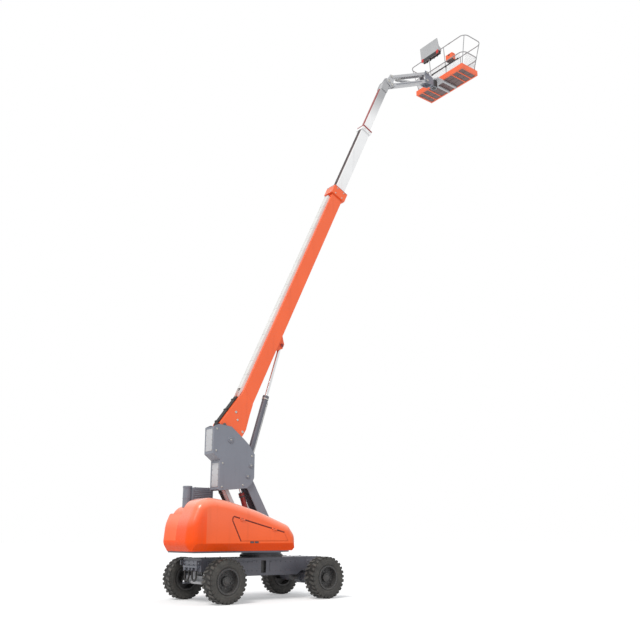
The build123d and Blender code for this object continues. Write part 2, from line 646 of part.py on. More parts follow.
# Platform base on the turning drive, two arms under the floor
base_low = J1_FAR[1] + 270
base = post(TURN_X, 0, 125, base_low, FLOOR_Z)
base += block(TURN_X, DECK_X0 + 90, -230, 230, base_low + 10, FLOOR_Z)
base += both(block(DECK_X0 - 40, DECK_X1 - 80, 150, 230, base_low + 10, FLOOR_Z))
base -= post(TURN_X, 0, 50 + PIN_GAP, base_low - 50, FLOOR_Z - 15)
save("platform_base", base)

# Platform floor with cross ribs and a low kick board
floor = block(DECK_X0, DECK_X1, -DECK_HALF_Y, DECK_HALF_Y, FLOOR_Z, FLOOR_Z + 60)
floor -= block(DECK_X0 + 60, DECK_X1 - 60, 60 - DECK_HALF_Y, DECK_HALF_Y - 60, FLOOR_Z - 1, FLOOR_Z + 61)
for y in (-950, -650, -190, 190, 650, 950):
    floor += block(DECK_X0 + 50, DECK_X1 - 50, y - 25, y + 25, FLOOR_Z, FLOOR_Z + 60)
floor += block(DECK_X0, DECK_X1, -DECK_HALF_Y, DECK_HALF_Y, FLOOR_Z + 60, FLOOR_Z + 68)
kick = block(DECK_X0, DECK_X1, -DECK_HALF_Y, DECK_HALF_Y, FLOOR_Z + 60, FLOOR_Z + 210)
kick -= block(DECK_X0 + 6, DECK_X1 - 6, 6 - DECK_HALF_Y, DECK_HALF_Y - 6, FLOOR_Z + 59, FLOOR_Z + 211)
save("platform_floor", floor + kick)

# Guard rails, two straight sides and two rounded ends, all leaning out
# They are laid out from the floor's boom-side edge, then set on the floor
FOOT_UP = 68.0
JOIN_Y = DECK_HALF_Y - 550.0


# Boom-side X, outer X and end Y of the rail loop at a height over the floor's underside
def rail_loop(up):
    share = (up - FOOT_UP) / (TOP_RAIL_UP - FOOT_UP)
    out_x = FLARE_X * share - RAIL_INSET
    return -out_x, DECK_WIDTH + out_x, DECK_HALF_Y + FLARE_Y * share - RAIL_INSET


on_floor = Pos(DECK_X0, 0, FLOOR_Z)
top_loop = rail_loop(TOP_RAIL_UP)
mid_loop = rail_loop(MID_RAIL_UP)
foot_loop = rail_loop(FOOT_UP)
under_floor = block(0, DECK_WIDTH, -DECK_HALF_Y, DECK_HALF_Y, FOOT_UP - 60, FOOT_UP)
for name, side in (("rail_boom_side", 0), ("rail_outer", 1)):
    rail = bar((top_loop[side], -JOIN_Y, TOP_RAIL_UP), (top_loop[side], JOIN_Y, TOP_RAIL_UP), RAIL_R)
    rail += bar((mid_loop[side], -JOIN_Y, MID_RAIL_UP), (mid_loop[side], JOIN_Y, MID_RAIL_UP), RAIL_R)
    for y in (-400, 400):
        rail += bar((foot_loop[side], y, FOOT_UP), (top_loop[side], y, TOP_RAIL_UP), POST_R)
    save(name, on_floor * (rail - under_floor))
tuck = RAIL_BEND * (1 - math.sqrt(0.5))
end_rail = None
for up, loop in ((TOP_RAIL_UP, top_loop), (MID_RAIL_UP, mid_loop)):
    corners = [
        (loop[0], -JOIN_Y, up),
        (loop[0], -loop[2], up),
        (loop[1], -loop[2], up),
        (loop[1], -JOIN_Y, up),
    ]
    line = FilletPolyline(*corners, radius=RAIL_BEND)
    tube = sweep((line ^ 0) * Circle(RAIL_R), path=line)
    end_rail = tube if end_rail is None else end_rail + tube
for side, way in ((0, 1), (1, -1)):
    low = (foot_loop[side] + way * tuck, tuck - foot_loop[2], FOOT_UP)
    high = (top_loop[side] + way * tuck, tuck - top_loop[2], TOP_RAIL_UP)
    end_rail += bar(low, high, POST_R)
end_rail = on_floor * (end_rail - under_floor)
save("rail_end_right", end_rail)
save("rail_end_left", mirror(end_rail, about=Plane.XZ))

# Control console on the boom-side rail with a leaning hood
TOP_RAIL = FLOOR_Z + TOP_RAIL_UP
MID_RAIL = FLOOR_Z + MID_RAIL_UP
grip = DECK_X0 + top_loop[0] + RAIL_R
CONSOLE = [(130, 25), (130, 150), (0, 230), (-80, 550), (-105, 550), (-60, 25)]
console = slab([(grip + x, TOP_RAIL + z) for x, z in CONSOLE], -150, 800)
for y0, y1 in ((-100, 350), (450, 750)):
    console += block(grip, grip + 26, y0, y1, TOP_RAIL - 70, TOP_RAIL + 30)
save("console", console)

# Tool box hung on the boom-side middle rail
hang = DECK_X0 + mid_loop[0] + RAIL_R
save("tool_box", block(hang, hang + 190, -760, -430, MID_RAIL - 10, MID_RAIL + 260))
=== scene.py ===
import math

import bmesh
import bpy
from mathutils import Matrix, Vector


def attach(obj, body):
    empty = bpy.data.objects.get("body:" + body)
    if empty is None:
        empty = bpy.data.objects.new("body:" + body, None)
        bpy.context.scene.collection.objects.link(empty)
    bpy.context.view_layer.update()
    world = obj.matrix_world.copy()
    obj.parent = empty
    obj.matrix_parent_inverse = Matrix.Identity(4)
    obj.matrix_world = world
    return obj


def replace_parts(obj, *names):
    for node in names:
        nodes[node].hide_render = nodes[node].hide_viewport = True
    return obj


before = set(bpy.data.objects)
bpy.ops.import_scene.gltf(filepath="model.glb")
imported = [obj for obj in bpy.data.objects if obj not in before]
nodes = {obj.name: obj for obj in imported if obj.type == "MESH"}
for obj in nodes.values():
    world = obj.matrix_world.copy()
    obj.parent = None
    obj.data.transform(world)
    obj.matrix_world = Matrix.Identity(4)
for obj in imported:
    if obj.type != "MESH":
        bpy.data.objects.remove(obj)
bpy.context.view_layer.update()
scene = bpy.context.scene

# Main measures in metres, the same as those of the solids
AXLE_X = 1.555
WHEEL_Y = 1.05
TYRE_R = 0.535
SLEW_X = 0.2
FRAME_Y = 0.470
HOOD_Y = 1.080
KNUCKLE_Y = 0.250
RISER_DEG = 120.3
BOOM_DEG = 65.2
MAIN_TIP = 9.490
MID_TIP = 12.550
FLY_PIN = 15.170
JIB_DEG = 26.5
JIB_LEN = 2.150
JIB_CYL_S = 1.450
JIB_CAP_Y = 0.176
BAR_RISE = 0.340
DECK_HALF_Y = 1.250
DECK_DEPTH = 0.900
FLOOR_DEPTH = 0.068
RAIL_R = 0.019
RAIL_INSET = 0.045
LEAN_X = 0.105
LEAN_Y = 0.295

# Pins in X and Z: feet of the two links and of the riser cylinder on the turret, then the knuckle's pins
FRONT_PIN = (0.420, 1.680)
REAR_PIN = (-0.280, 1.460)
RAM_PIN = (0.0, 1.420)
LINK_PIN = (-0.4503, 3.1694)
RAM_EYE = (-0.620, 3.050)
BOOM_PIN = (-1.020, 4.110)
LIFT_BASE = (-0.350, 3.460)

# Pin of the lift rod, along the boom and out of its back
LIFT_LUG = (3.390, -0.350)


# Frame of a slanting part: along it, across it, and out of its back
def along(at, deg):
    return Matrix.Translation((at[0], 0.0, at[1])) @ Matrix.Rotation(math.radians(-deg), 4, "Y")


def slope(a, b):
    return math.degrees(math.atan2(b[1] - a[1], b[0] - a[0]))


def flat(place, s, t):
    p = place @ Vector((s, 0.0, t))
    return p.x, p.z


BOOM = along(BOOM_PIN, BOOM_DEG)
LUG = flat(BOOM, *LIFT_LUG)
RISER = along(FRONT_PIN, RISER_DEG)
RISER_REAR = along(REAR_PIN, RISER_DEG)
RISER_RAM = along(RAM_PIN, slope(RAM_PIN, RAM_EYE))
LIFT_RAM = along(LIFT_BASE, slope(LIFT_BASE, LUG))

# Pins of the jib's lower and upper bars, at the head and at the far end
HEAD = flat(BOOM, FLY_PIN, 0.0)
J1 = (HEAD[0] + 0.150, HEAD[1] - 0.095)
J2 = (J1[0], J1[1] + BAR_RISE)
JIB = along(J1, JIB_DEG)
J1_FAR = flat(JIB, JIB_LEN, 0.0)
J2_FAR = (J1_FAR[0], J1_FAR[1] + BAR_RISE)
JIB_BASE = flat(JIB, JIB_CYL_S, 0.0)
JIB_RAM = along(JIB_BASE, slope(JIB_BASE, J2))

# Platform: turning axis, edges of the floor, heights of the floor and rails, joints of the rails
TURN_X = J1_FAR[0] + 0.533
FLOOR_Z = J1_FAR[1] + 0.345
DECK_X0 = TURN_X + 0.290
DECK_X1 = DECK_X0 + DECK_DEPTH
FOOT_Z = FLOOR_Z + FLOOR_DEPTH
TOP_RAIL = FLOOR_Z + 1.360
MID_RAIL = FLOOR_Z + 0.710
JOIN_Y = DECK_HALF_Y - 0.550


# Boom-side X, outer X and end Y of the leaning rails at a height
def rail_loop(z):
    share = (z - FOOT_Z) / (TOP_RAIL - FOOT_Z)
    out_x = LEAN_X * share - RAIL_INSET
    return DECK_X0 - out_x, DECK_X1 + out_x, DECK_HALF_Y + LEAN_Y * share - RAIL_INSET


# Camera
lens = bpy.data.cameras.new("camera")
lens.sensor_width = 36.0
lens.lens = 42.38
camera = bpy.data.objects.new("camera", lens)
camera.location = (-11.692, -17.933, 1.601)
camera.rotation_euler = (math.radians(106.01), 0.0, math.radians(-37.814))
scene.collection.objects.link(camera)
scene.camera = camera
scene.view_settings.view_transform = "Standard"


def wire(tree, kind, inputs=None, **settings):
    node = tree.nodes.new(kind)
    for key, value in settings.items():
        setattr(node, key, value)
    for key, value in (inputs or {}).items():
        if isinstance(value, bpy.types.NodeSocket):
            tree.links.new(value, node.inputs[key])
        else:
            node.inputs[key].default_value = value
    return node


def maths(tree, operation, *values):
    return wire(tree, "ShaderNodeMath", dict(enumerate(values)), operation=operation).outputs[0]


def remap(tree, value, start, end, low, high):
    return wire(tree, "ShaderNodeMapRange", {0: value, 1: start, 2: end, 3: low, 4: high}).outputs[0]


def mixed(tree, share, first, second):
    return wire(tree, "ShaderNodeMix", {0: share, 6: first, 7: second}, data_type="RGBA").outputs[2]


def noise(tree, where, scale, detail, roughness=0.5):
    inputs = {"Vector": where, "Scale": scale, "Detail": detail, "Roughness": roughness}
    return wire(tree, "ShaderNodeTexNoise", inputs).outputs["Fac"]


def blank(name):
    mat = bpy.data.materials.new(name)
    mat.use_nodes = True
    mat.node_tree.nodes.clear()
    return mat, mat.node_tree


# Whether a ray comes from the camera, a mirror or clear glass
def seen_ray(tree):
    path = wire(tree, "ShaderNodeLightPath").outputs
    direct = maths(tree, "MAXIMUM", path["Is Camera Ray"], path["Is Glossy Ray"])
    return maths(tree, "MAXIMUM", direct, path["Is Transmission Ray"])


# Sky light and a soft sun
world = bpy.data.worlds.new("sky")
scene.world = world
world.use_nodes = True
sky = world.node_tree
sky.nodes.clear()
soft = wire(sky, "ShaderNodeBackground", {"Color": (0.93, 0.96, 1.0, 1.0), "Strength": 0.68})
white = wire(sky, "ShaderNodeBackground", {"Color": (1.0, 1.0, 1.0, 1.0), "Strength": 1.0})
blend = wire(sky, "ShaderNodeMixShader", {0: seen_ray(sky), 1: soft.outputs[0], 2: white.outputs[0]})
wire(sky, "ShaderNodeOutputWorld", {"Surface": blend.outputs[0]})

sun = bpy.data.lights.new("sun", "SUN")
sun.energy = 2.1
sun.angle = math.radians(20.0)
sun.color = (1.0, 0.975, 0.94)
sun_lamp = bpy.data.objects.new("sun", sun)
sun_lamp.rotation_euler = Vector((0.68, 0.40, -0.86)).to_track_quat("-Z", "Y").to_euler()
scene.collection.objects.link(sun_lamp)

# Pale floor, white to the camera where no shadow falls
GROUND_HALF = 160.0
GROUND_Z = -0.002
floor_mesh = bpy.data.meshes.new("studio_floor")
corners = [(-GROUND_HALF, -GROUND_HALF, GROUND_Z), (GROUND_HALF, -GROUND_HALF, GROUND_Z),
           (GROUND_HALF, GROUND_HALF, GROUND_Z), (-GROUND_HALF, GROUND_HALF, GROUND_Z)]
floor_mesh.from_pydata(corners, [], [(0, 1, 2, 3)])
studio_floor = bpy.data.objects.new("studio_floor", floor_mesh)
scene.collection.objects.link(studio_floor)
floor_mat, tree = blank("studio_floor")
matte = wire(tree, "ShaderNodeBsdfDiffuse", {"Color": (0.74, 0.74, 0.74, 1.0)})
glow = wire(tree, "ShaderNodeEmission", {"Color": (1.0, 1.0, 1.0, 1.0), "Strength": 0.30})
lit = wire(tree, "ShaderNodeAddShader", {0: matte.outputs[0], 1: glow.outputs[0]})
pick = wire(tree, "ShaderNodeMixShader", {0: seen_ray(tree), 1: matte.outputs[0], 2: lit.outputs[0]})
wire(tree, "ShaderNodeOutputMaterial", {"Surface": pick.outputs[0]})
floor_mesh.materials.append(floor_mat)


def shade(colour, gain):
    return tuple(min(1.0, c * gain) for c in colour) + (1.0,)


# Dust, painted highlight for faces that look up, coat, edges and grain, then the heights between which the
# looks change
DUST = (0.30, 0.27, 0.23, 1.0)
PAINTED_HIGHLIGHT_TONE = (1.0, 0.44, 0.31, 1.0)
COAT_ROUGH = 0.24
WORN_EDGE = 0.010
GRAIN = 320.0
CORNER_Z = (2.34, 2.04)
GLOSS_Z = (1.45, 2.10)
DUST_Z = (1.5, 0.1)
NOWHERE = -9.0


# Paint or plastic with weathering, dust near the ground and worn edges, and where asked a second colour and
# a painted highlight on faces that look up
def finish(name, colour, rough, metallic=0.0, coat=0.0, dust=0.25, wear=0.5, bare=(0.22, 0.21, 0.20),
           relief=0.06, streaks=0.25, level=0.5, second=None, rear_x=NOWHERE,
           foot=(NOWHERE, NOWHERE - 0.1), painted_highlight=0.0):
    mat, tree = blank(name)
    where = wire(tree, "ShaderNodeTexCoord").outputs["Object"]
    place = wire(tree, "ShaderNodeSeparateXYZ", {0: where})
    height = place.outputs[2]
    side = wire(tree, "ShaderNodeNewGeometry").outputs["Normal"]
    patch = noise(tree, where, 1.1, 5.0, 0.6)
    speck = noise(tree, where, 38.0, 6.0, 0.65)
    stretched = wire(tree, "ShaderNodeMapping", {"Vector": where, "Scale": (9.0, 9.0, 0.55)})
    run = noise(tree, stretched.outputs[0], 1.0, 4.0)
    tone = mixed(tree, patch, shade(colour, 0.86), shade(colour, 1.10))

    # Second colour at the rear and past a height, with less gloss low down: two-tone paint on the hood and
    # counterweight, painted shade on the far hood and on the fly's top
    shine = coat
    if second:
        behind = remap(tree, place.outputs[0], rear_x + 0.01, rear_x - 0.01, 0.0, 1.0)
        under_top = remap(tree, height, *CORNER_Z, 0.0, 1.0)
        rear_part = maths(tree, "MULTIPLY", behind, under_top)
        beyond = remap(tree, height, *foot, 0.0, 1.0)
        either = maths(tree, "MAXIMUM", rear_part, beyond)
        tone = mixed(tree, either, tone, shade(second, 1.0))
        shine = remap(tree, height, *GLOSS_Z, 0.05, coat)

    # Painted highlight: paler on faces that look up, standing in for the sky's reflection
    if painted_highlight:
        facing = wire(tree, "ShaderNodeSeparateXYZ", {0: side})
        highlight_share = remap(tree, facing.outputs[2], 0.10, 0.80, 0.0, painted_highlight)
        tone = mixed(tree, highlight_share, tone, PAINTED_HIGHLIGHT_TONE)

    # Streaks, dust and chipped edges
    faint = remap(tree, run, 0.56, 0.80, 0.0, streaks)
    stained = mixed(tree, faint, tone, shade(colour, 0.55))
    low = remap(tree, height, *DUST_Z, 0.12, 1.0)
    puff = remap(tree, speck, 0.42, 0.72, 0.0, dust)
    veil = maths(tree, "MULTIPLY", low, puff)
    dusty = mixed(tree, veil, stained, DUST)
    round_edge = wire(tree, "ShaderNodeBevel", {"Radius": WORN_EDGE}, samples=4).outputs[0]
    agree = wire(tree, "ShaderNodeVectorMath", {0: round_edge, 1: side}, operation="DOT_PRODUCT")
    corner = remap(tree, agree.outputs["Value"], 0.985, 0.80, 0.0, 1.0)
    chip = remap(tree, speck, 0.48, 0.62, 0.0, wear)
    worn = maths(tree, "MULTIPLY", corner, chip)
    final = mixed(tree, worn, dusty, bare + (1.0,))
    gloss = remap(tree, speck, 0.3, 0.75, max(0.03, rough - 0.06), min(1.0, rough + 0.10))
    dull = maths(tree, "MULTIPLY_ADD", veil, 0.35, gloss)
    fine = noise(tree, where, GRAIN, 2.0)
    uneven = wire(tree, "ShaderNodeBump", {
        "Height": fine, "Strength": relief, "Distance": 0.002, "Normal": round_edge})
    surface = wire(tree, "ShaderNodeBsdfPrincipled", {
        "Base Color": final, "Roughness": dull, "Normal": uneven.outputs[0], "Metallic": metallic,
        "Coat Weight": shine, "Coat Roughness": COAT_ROUGH, "Specular IOR Level": level})
    wire(tree, "ShaderNodeOutputMaterial", {"Surface": surface.outputs[0]})
    return mat


# Reach from the axle, as a share of the tyre's diameter, where the bars stand clear and the wall begins
BAR_SHARE = (0.485, 0.496)
WALL_SHARE = (0.478, 0.466)


# Moulded rubber with a dusty bloom, painted shade in the grooves between the bars, lighter bar tops and
# rings on the side walls
def rubber(name):
    mat, tree = blank(name)
    coords = wire(tree, "ShaderNodeTexCoord")
    where = coords.outputs["Object"]
    patch = noise(tree, where, 5.0, 6.0, 0.7)
    speck = noise(tree, where, 70.0, 5.0)
    bloom = remap(tree, patch, 0.38, 0.72, 0.15, 0.85)
    tone = mixed(tree, bloom, (0.026, 0.025, 0.024, 1.0), (0.085, 0.080, 0.070, 1.0))
    middle = wire(tree, "ShaderNodeVectorMath", {0: coords.outputs["Generated"], 1: (0.5, 0.5, 0.5)},
                  operation="SUBTRACT")
    across = wire(tree, "ShaderNodeVectorMath", {0: middle.outputs[0], 1: (1.0, 0.0, 1.0)},
                  operation="MULTIPLY")
    reach = wire(tree, "ShaderNodeVectorMath", {0: across.outputs[0]}, operation="LENGTH").outputs["Value"]
    # Painted shade: the drum between the bars drops to 0.3 of the rubber's tone; the bar tops rise to 1.35
    raised = remap(tree, reach, *BAR_SHARE, 0.30, 1.35)
    wall = remap(tree, reach, *WALL_SHARE, 0.0, 1.0)
    groove_shade_gain = maths(tree, "MAXIMUM", raised, wall)
    groove_shaded_tone = wire(tree, "ShaderNodeVectorMath", {0: tone, "Scale": groove_shade_gain}, operation="SCALE")
    turns = maths(tree, "MULTIPLY", reach, 210.0)
    rings = maths(tree, "SINE", turns)
    ridge = maths(tree, "MULTIPLY_ADD", rings, 0.35, speck)
    relief = wire(tree, "ShaderNodeBump", {"Height": ridge, "Strength": 0.35, "Distance": 0.004})
    gloss = remap(tree, speck, 0.3, 0.7, 0.58, 0.85)
    surface = wire(tree, "ShaderNodeBsdfPrincipled", {
        "Base Color": groove_shaded_tone.outputs[0], "Roughness": gloss, "Normal": relief.outputs[0]})
    wire(tree, "ShaderNodeOutputMaterial", {"Surface": surface.outputs[0]})
    return mat


HOOD = (0.97, 0.142, 0.042)
TAIL = (0.90, 0.082, 0.008)
# Dark red that orange paint shows in shade, used as painted shade
PAINTED_SHADE = (0.52, 0.040, 0.010)
RED_CHIP = (0.42, 0.10, 0.05)
STEEL = (0.45, 0.44, 0.42)
PAINTS = {
    "orange": finish("orange_paint", HOOD, 0.30, coat=0.30, dust=0.20, bare=RED_CHIP, level=0.3),
    # Hood, far hood and counterweight paint carry a painted highlight on faces that look up
    "hood": finish("hood_paint", HOOD, 0.26, coat=0.90, dust=0.20, bare=RED_CHIP, level=0.06,
                   second=TAIL, rear_x=-2.13, foot=(1.434, 1.426), painted_highlight=0.60),
    # Far hood: its rear and lower band take the painted shade
    "far_hood": finish("far_hood_paint", HOOD, 0.26, coat=0.60, dust=0.20, bare=RED_CHIP, level=0.06,
                       second=PAINTED_SHADE, rear_x=-2.05, foot=(1.434, 1.426), painted_highlight=0.30),
    "tail": finish("tail_paint", HOOD, 0.30, coat=0.60, dust=0.20, bare=(0.40, 0.08, 0.04), level=0.06,
                   second=TAIL, foot=(1.504, 1.496), painted_highlight=0.50),
    "dark": finish("dark_grey_paint", (0.118, 0.120, 0.146), 0.42, coat=0.10, dust=0.30),
    "mid": finish("mid_grey_paint", (0.200, 0.213, 0.252), 0.40, coat=0.15, bare=(0.40, 0.40, 0.42)),
    "light": finish("light_grey_paint", (0.50, 0.505, 0.52), 0.38, coat=0.10, bare=(0.30, 0.29, 0.28)),
    "rail": finish("rail_paint", (0.35, 0.352, 0.36), 0.38, coat=0.10, bare=(0.42, 0.41, 0.40)),
    "white": finish("white_paint", (0.90, 0.90, 0.90), 0.32, coat=0.25, bare=STEEL),
    # Fly section: the grey that begins at 16.1 m and is full at 17.1 m is painted shade on the white paint
    "fly": finish("fly_paint", (0.90, 0.90, 0.90), 0.32, coat=0.20, bare=STEEL,
                  second=(0.40, 0.402, 0.41), foot=(16.1, 17.1)),
    "black": finish("black_paint", (0.022, 0.022, 0.024), 0.40, coat=0.10, bare=(0.10, 0.10, 0.10)),
    "rim": finish("rim_paint", (0.030, 0.030, 0.032), 0.45, dust=0.35, bare=(0.12, 0.12, 0.12)),
    # Dark red: real red on some parts, painted shade on the riser barrel, lift pin caps and main collar lip
    "red": finish("dark_red_paint_and_painted_shade", (0.30, 0.022, 0.020), 0.38, coat=0.15, bare=(0.20, 0.12, 0.10)),
    "signal": finish("signal_red_plastic", (0.62, 0.020, 0.016), 0.35, wear=0.1, dust=0.1),
    "chrome": finish("rod_chrome", (0.74, 0.75, 0.76), 0.14, metallic=1.0, dust=0.05, wear=0.1,
                     streaks=0.12),
    "alloy": finish("tray_alloy", (0.72, 0.71, 0.69), 0.48, metallic=0.15, dust=0.05, wear=0.15,
                    streaks=0.12, bare=(0.6, 0.6, 0.6), relief=0.03),
    "zinc": finish("zinc_plate", (0.50, 0.49, 0.46), 0.36, metallic=0.8, dust=0.2, wear=0.3),
    "plastic": finish("console_plastic", (0.47, 0.475, 0.48), 0.55, dust=0.15, wear=0.2,
                      bare=(0.6, 0.6, 0.6)),
    "iron": finish("engine_iron", (0.10, 0.10, 0.105), 0.55, metallic=0.2, dust=0.5),
    "hose": finish("hose_rubber", (0.022, 0.022, 0.023), 0.60, wear=0.1, relief=0.15),
    "gap": finish("joint_shadow", (0.150, 0.020, 0.012), 0.80, wear=0.0, dust=0.1, streaks=0.0),
    "panel": finish("floor_panel", (0.175, 0.118, 0.116), 0.55, dust=0.10, wear=0.2,
                    bare=(0.3, 0.26, 0.24)),
    "tread": rubber("tyre_rubber"),
}

# Paint of each solid
COATS = {
    "orange": "boom_main platform_floor tool_box",
    "hood": "hood_right hood_door_left hood_door_right",
    "far_hood": "hood_left",
    "tail": "counterweight",
    "dark": "chassis_frame slew_ring drive_axle steer_knuckle_left steer_knuckle_right turntable "
            "lift_barrel",
    "mid": "riser_link knuckle air_housing platform_bracket hose_plate",
    "light": "jib_head jib_lower jib_upper jib_barrel steer_axle steer_cylinder riser_link_rear "
             "platform_base",
    "rail": "rail_boom_side rail_outer rail_end_left rail_end_right",
    "white": "boom_mid",
    "fly": "boom_fly",
    "rim": "rim_steer_left rim_steer_right rim_drive_left rim_drive_right",
    "hose": "hose_bundle",
    "panel": "mid_strip",
    # The riser barrel's dark red is painted shade on an orange part
    "red": "riser_barrel fly_strip",
    "chrome": "lift_rod riser_rod jib_rod steer_rod",
    "alloy": "hose_tray",
    "plastic": "console",
    "iron": "engine",
    "tread": "tyre_steer_left tyre_steer_right tyre_drive_left tyre_drive_right",
}
for key, names in COATS.items():
    for name in names.split():
        mesh = nodes[name].data
        mesh.materials.clear()
        mesh.materials.append(PAINTS[key])


# Unit vectors of an axis and of two directions square to it
def square_to(axis):
    axis = Vector(axis).normalized()
    side = axis.orthogonal().normalized()
    return axis, side, axis.cross(side)


CAP_HIGH = 0.012


# Mesh builder: solids are added to one piece, then painted and tied to a body
class Piece:
    def __init__(self, turn=None):
        self.bm = bmesh.new()
        self.turn = turn or Matrix.Identity(4)

    def vert(self, p):
        return self.bm.verts.new(self.turn @ Vector(p))

    def box(self, lo, hi, bevel):
        low = [min(a, b) for a, b in zip(lo, hi)]
        size = [abs(b - a) for a, b in zip(lo, hi)]
        middle = Vector([a + b / 2 for a, b in zip(low, size)])
        place = self.turn @ Matrix.Translation(middle) @ Matrix.Diagonal(size + [1.0])
        made = bmesh.ops.create_cube(self.bm, size=1.0, matrix=place)
        edges = list(dict.fromkeys(e for v in made["verts"] for e in v.link_edges))
        bevel = min(bevel, min(size) * 0.45)
        bmesh.ops.bevel(self.bm, geom=edges, offset=bevel, segments=2, profile=0.6, affect="EDGES")

    # Profile of (radius, height) turned about an axis; a ring profile closes on itself
    def lathe(self, base, axis, profile, segments, ring=False):
        base = Vector(base)
        axis, side, other = square_to(axis)
        rows = []
        for r, h in profile:
            row = []
            for k in range(segments if r > 1e-6 else 1):
                a = 2 * math.pi * k / segments
                row.append(self.vert(base + axis * h + (side * math.cos(a) + other * math.sin(a)) * r))
            rows.append(row)
        pairs = list(zip(rows, rows[1:]))
        if ring:
            pairs.append((rows[-1], rows[0]))
        for a, b in pairs:
            count = max(len(a), len(b))
            for k in range(count):
                n = (k + 1) % count
                quad = [a[k % len(a)], a[n % len(a)], b[n % len(b)], b[k % len(b)]]
                self.bm.faces.new(list(dict.fromkeys(quad)))
        for row in () if ring else (rows[0], rows[-1]):
            if len(row) > 2:
                self.bm.faces.new(row)

    def rod(self, p0, p1, r, segments, bevel=0.0):
        p0, p1 = Vector(p0), Vector(p1)
        length = (p1 - p0).length
        b = min(bevel, r * 0.5, length * 0.4)
        profile = [(r, 0.0), (r, length)]
        if b:
            profile = [(r - b, 0.0), (r, b), (r, length - b), (r - b, length)]
        self.lathe(p0, p1 - p0, profile, segments)

    # Hexagon bolt head on a washer
    def bolt(self, at, axis, r):
        self.lathe(at, axis, [(1.5 * r, -0.02 * r), (1.5 * r, 0.22 * r), (1.3 * r, 0.3 * r)], 14)
        self.lathe(at, axis, [(r, 0.2 * r), (r, 0.95 * r), (0.82 * r, 1.1 * r)], 6)

    def bolt_ring(self, centre, axis, reach, count, r, first=0.0):
        axis, side, other = square_to(axis)
        for k in range(count):
            a = 2 * math.pi * (k + first) / count
            self.bolt(Vector(centre) + (side * math.cos(a) + other * math.sin(a)) * reach, axis, r)

    # Pin end: a capped disc with a ring of small bolts
    def cap(self, at, axis, r):
        inner = CAP_HIGH * 0.6
        self.lathe(at, axis, [(r, -0.001), (r, inner), (r * 0.90, CAP_HIGH), (r * 0.42, CAP_HIGH),
                              (r * 0.36, inner), (0.0, inner)], 28)
        self.bolt_ring(Vector(at) + Vector(axis).normalized() * CAP_HIGH, axis, r * 0.66, 6, r * 0.10)

    # Round tube along points
    def pipe(self, points, r, segments):
        points = [Vector(p) for p in points]
        side = None
        previous = None
        for i, p in enumerate(points):
            ahead = (points[min(i + 1, len(points) - 1)] - points[max(i - 1, 0)]).normalized()
            side = side or ahead.orthogonal()
            side = (side - ahead * side.dot(ahead)).normalized()
            other = ahead.cross(side)
            row = []
            for k in range(segments):
                a = 2 * math.pi * k / segments
                row.append(self.vert(p + (side * math.cos(a) + other * math.sin(a)) * r))
            if previous:
                for k in range(segments):
                    n = (k + 1) % segments
                    self.bm.faces.new([previous[k], previous[n], row[n], row[k]])
            else:
                self.bm.faces.new(row)
            previous = row
        self.bm.faces.new(previous)

    # Outline in X and Z pushed along Y
    def plate(self, outline, y0, y1):
        rows = [[self.vert((x, y, z)) for x, z in outline] for y in (y0, y1)]
        self.bm.faces.new(rows[0])
        self.bm.faces.new(rows[1])
        for k in range(len(outline)):
            n = (k + 1) % len(outline)
            self.bm.faces.new([rows[0][k], rows[0][n], rows[1][n], rows[1][k]])

    def done(self, name, body, key, smooth=38.0):
        bmesh.ops.recalc_face_normals(self.bm, faces=self.bm.faces)
        mesh = bpy.data.meshes.new(name)
        self.bm.to_mesh(mesh)
        self.bm.free()
        for face in mesh.polygons:
            face.use_smooth = True
        mesh.set_sharp_from_angle(angle=math.radians(smooth))
        mesh.materials.append(PAINTS[key])
        made = bpy.data.objects.new(name, mesh)
        scene.collection.objects.link(made)
        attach(made, body)
        return made


LINE_STEPS = 6


# Points along a smooth line through the space that its control points span
def smooth_line(points):
    curve = bpy.data.curves.new("line", "CURVE")
    curve.dimensions = "3D"
    curve.resolution_u = LINE_STEPS
    line = curve.splines.new("NURBS")
    line.points.add(len(points) - 1)
    for spot, p in zip(line.points, points):
        spot.co = (*p, 1.0)
    line.order_u = 3
    line.use_endpoint_u = True
    holder = bpy.data.objects.new("line", curve)
    mesh = bpy.data.meshes.new_from_object(holder)
    out = [v.co.copy() for v in mesh.vertices]
    bpy.data.objects.remove(holder)
    bpy.data.meshes.remove(mesh)
    bpy.data.curves.remove(curve)
    return out


# Tyres with round walls and chamfered tread bars, on the same drum and bars as the solids
WALL = [(0.292, 0.150), (0.300, 0.158), (0.322, 0.172), (0.345, 0.187), (0.362, 0.1965), (0.372, 0.1990),
        (0.380, 0.1995), (0.384, 0.1970), (0.398, 0.1975), (0.402, 0.1998), (0.424, 0.1995), (0.438, 0.1985),
        (0.452, 0.1930), (0.474, 0.1840), (0.492, 0.1730), (0.507, 0.1620), (0.515, 0.1400), (0.518, 0.0700)]
BAR_FOOT = [(-0.014, 0.004), (0.060, 0.004), (0.014, 0.1975), (-0.064, 0.1975)]
BAR_TOP = [(-0.006, 0.009), (0.052, 0.009), (0.008, 0.190), (-0.056, 0.190)]
KEY_FOOT = [(-0.030, 0.088), (0.046, 0.088), (0.014, 0.1970), (-0.062, 0.1970)]
KEY_TOP = [(-0.022, 0.094), (0.038, 0.094), (0.008, 0.188), (-0.052, 0.188)]
KEY_DROP = 0.003
BAR_ROOT = 0.444
BARS = 14
HUB = [(0.112, 0.0), (0.112, 0.010), (0.104, 0.016), (0.074, 0.018), (0.066, 0.034), (0.040, 0.042),
       (0.0, 0.043)]
BEAD = [(0.286, 0.0), (0.300, -0.004), (0.312, 0.002), (0.315, 0.008), (0.309, 0.014), (0.300, 0.012),
        (0.294, 0.006), (0.286, 0.004)]
NUTS = 10
NUT_REACH = 0.175
HOLES = 5
HOLE_REACH = 0.232
WHEELS = [("steer_left", -AXLE_X, 1), ("steer_right", -AXLE_X, -1), ("drive_left", AXLE_X, 1),
          ("drive_right", AXLE_X, -1)]
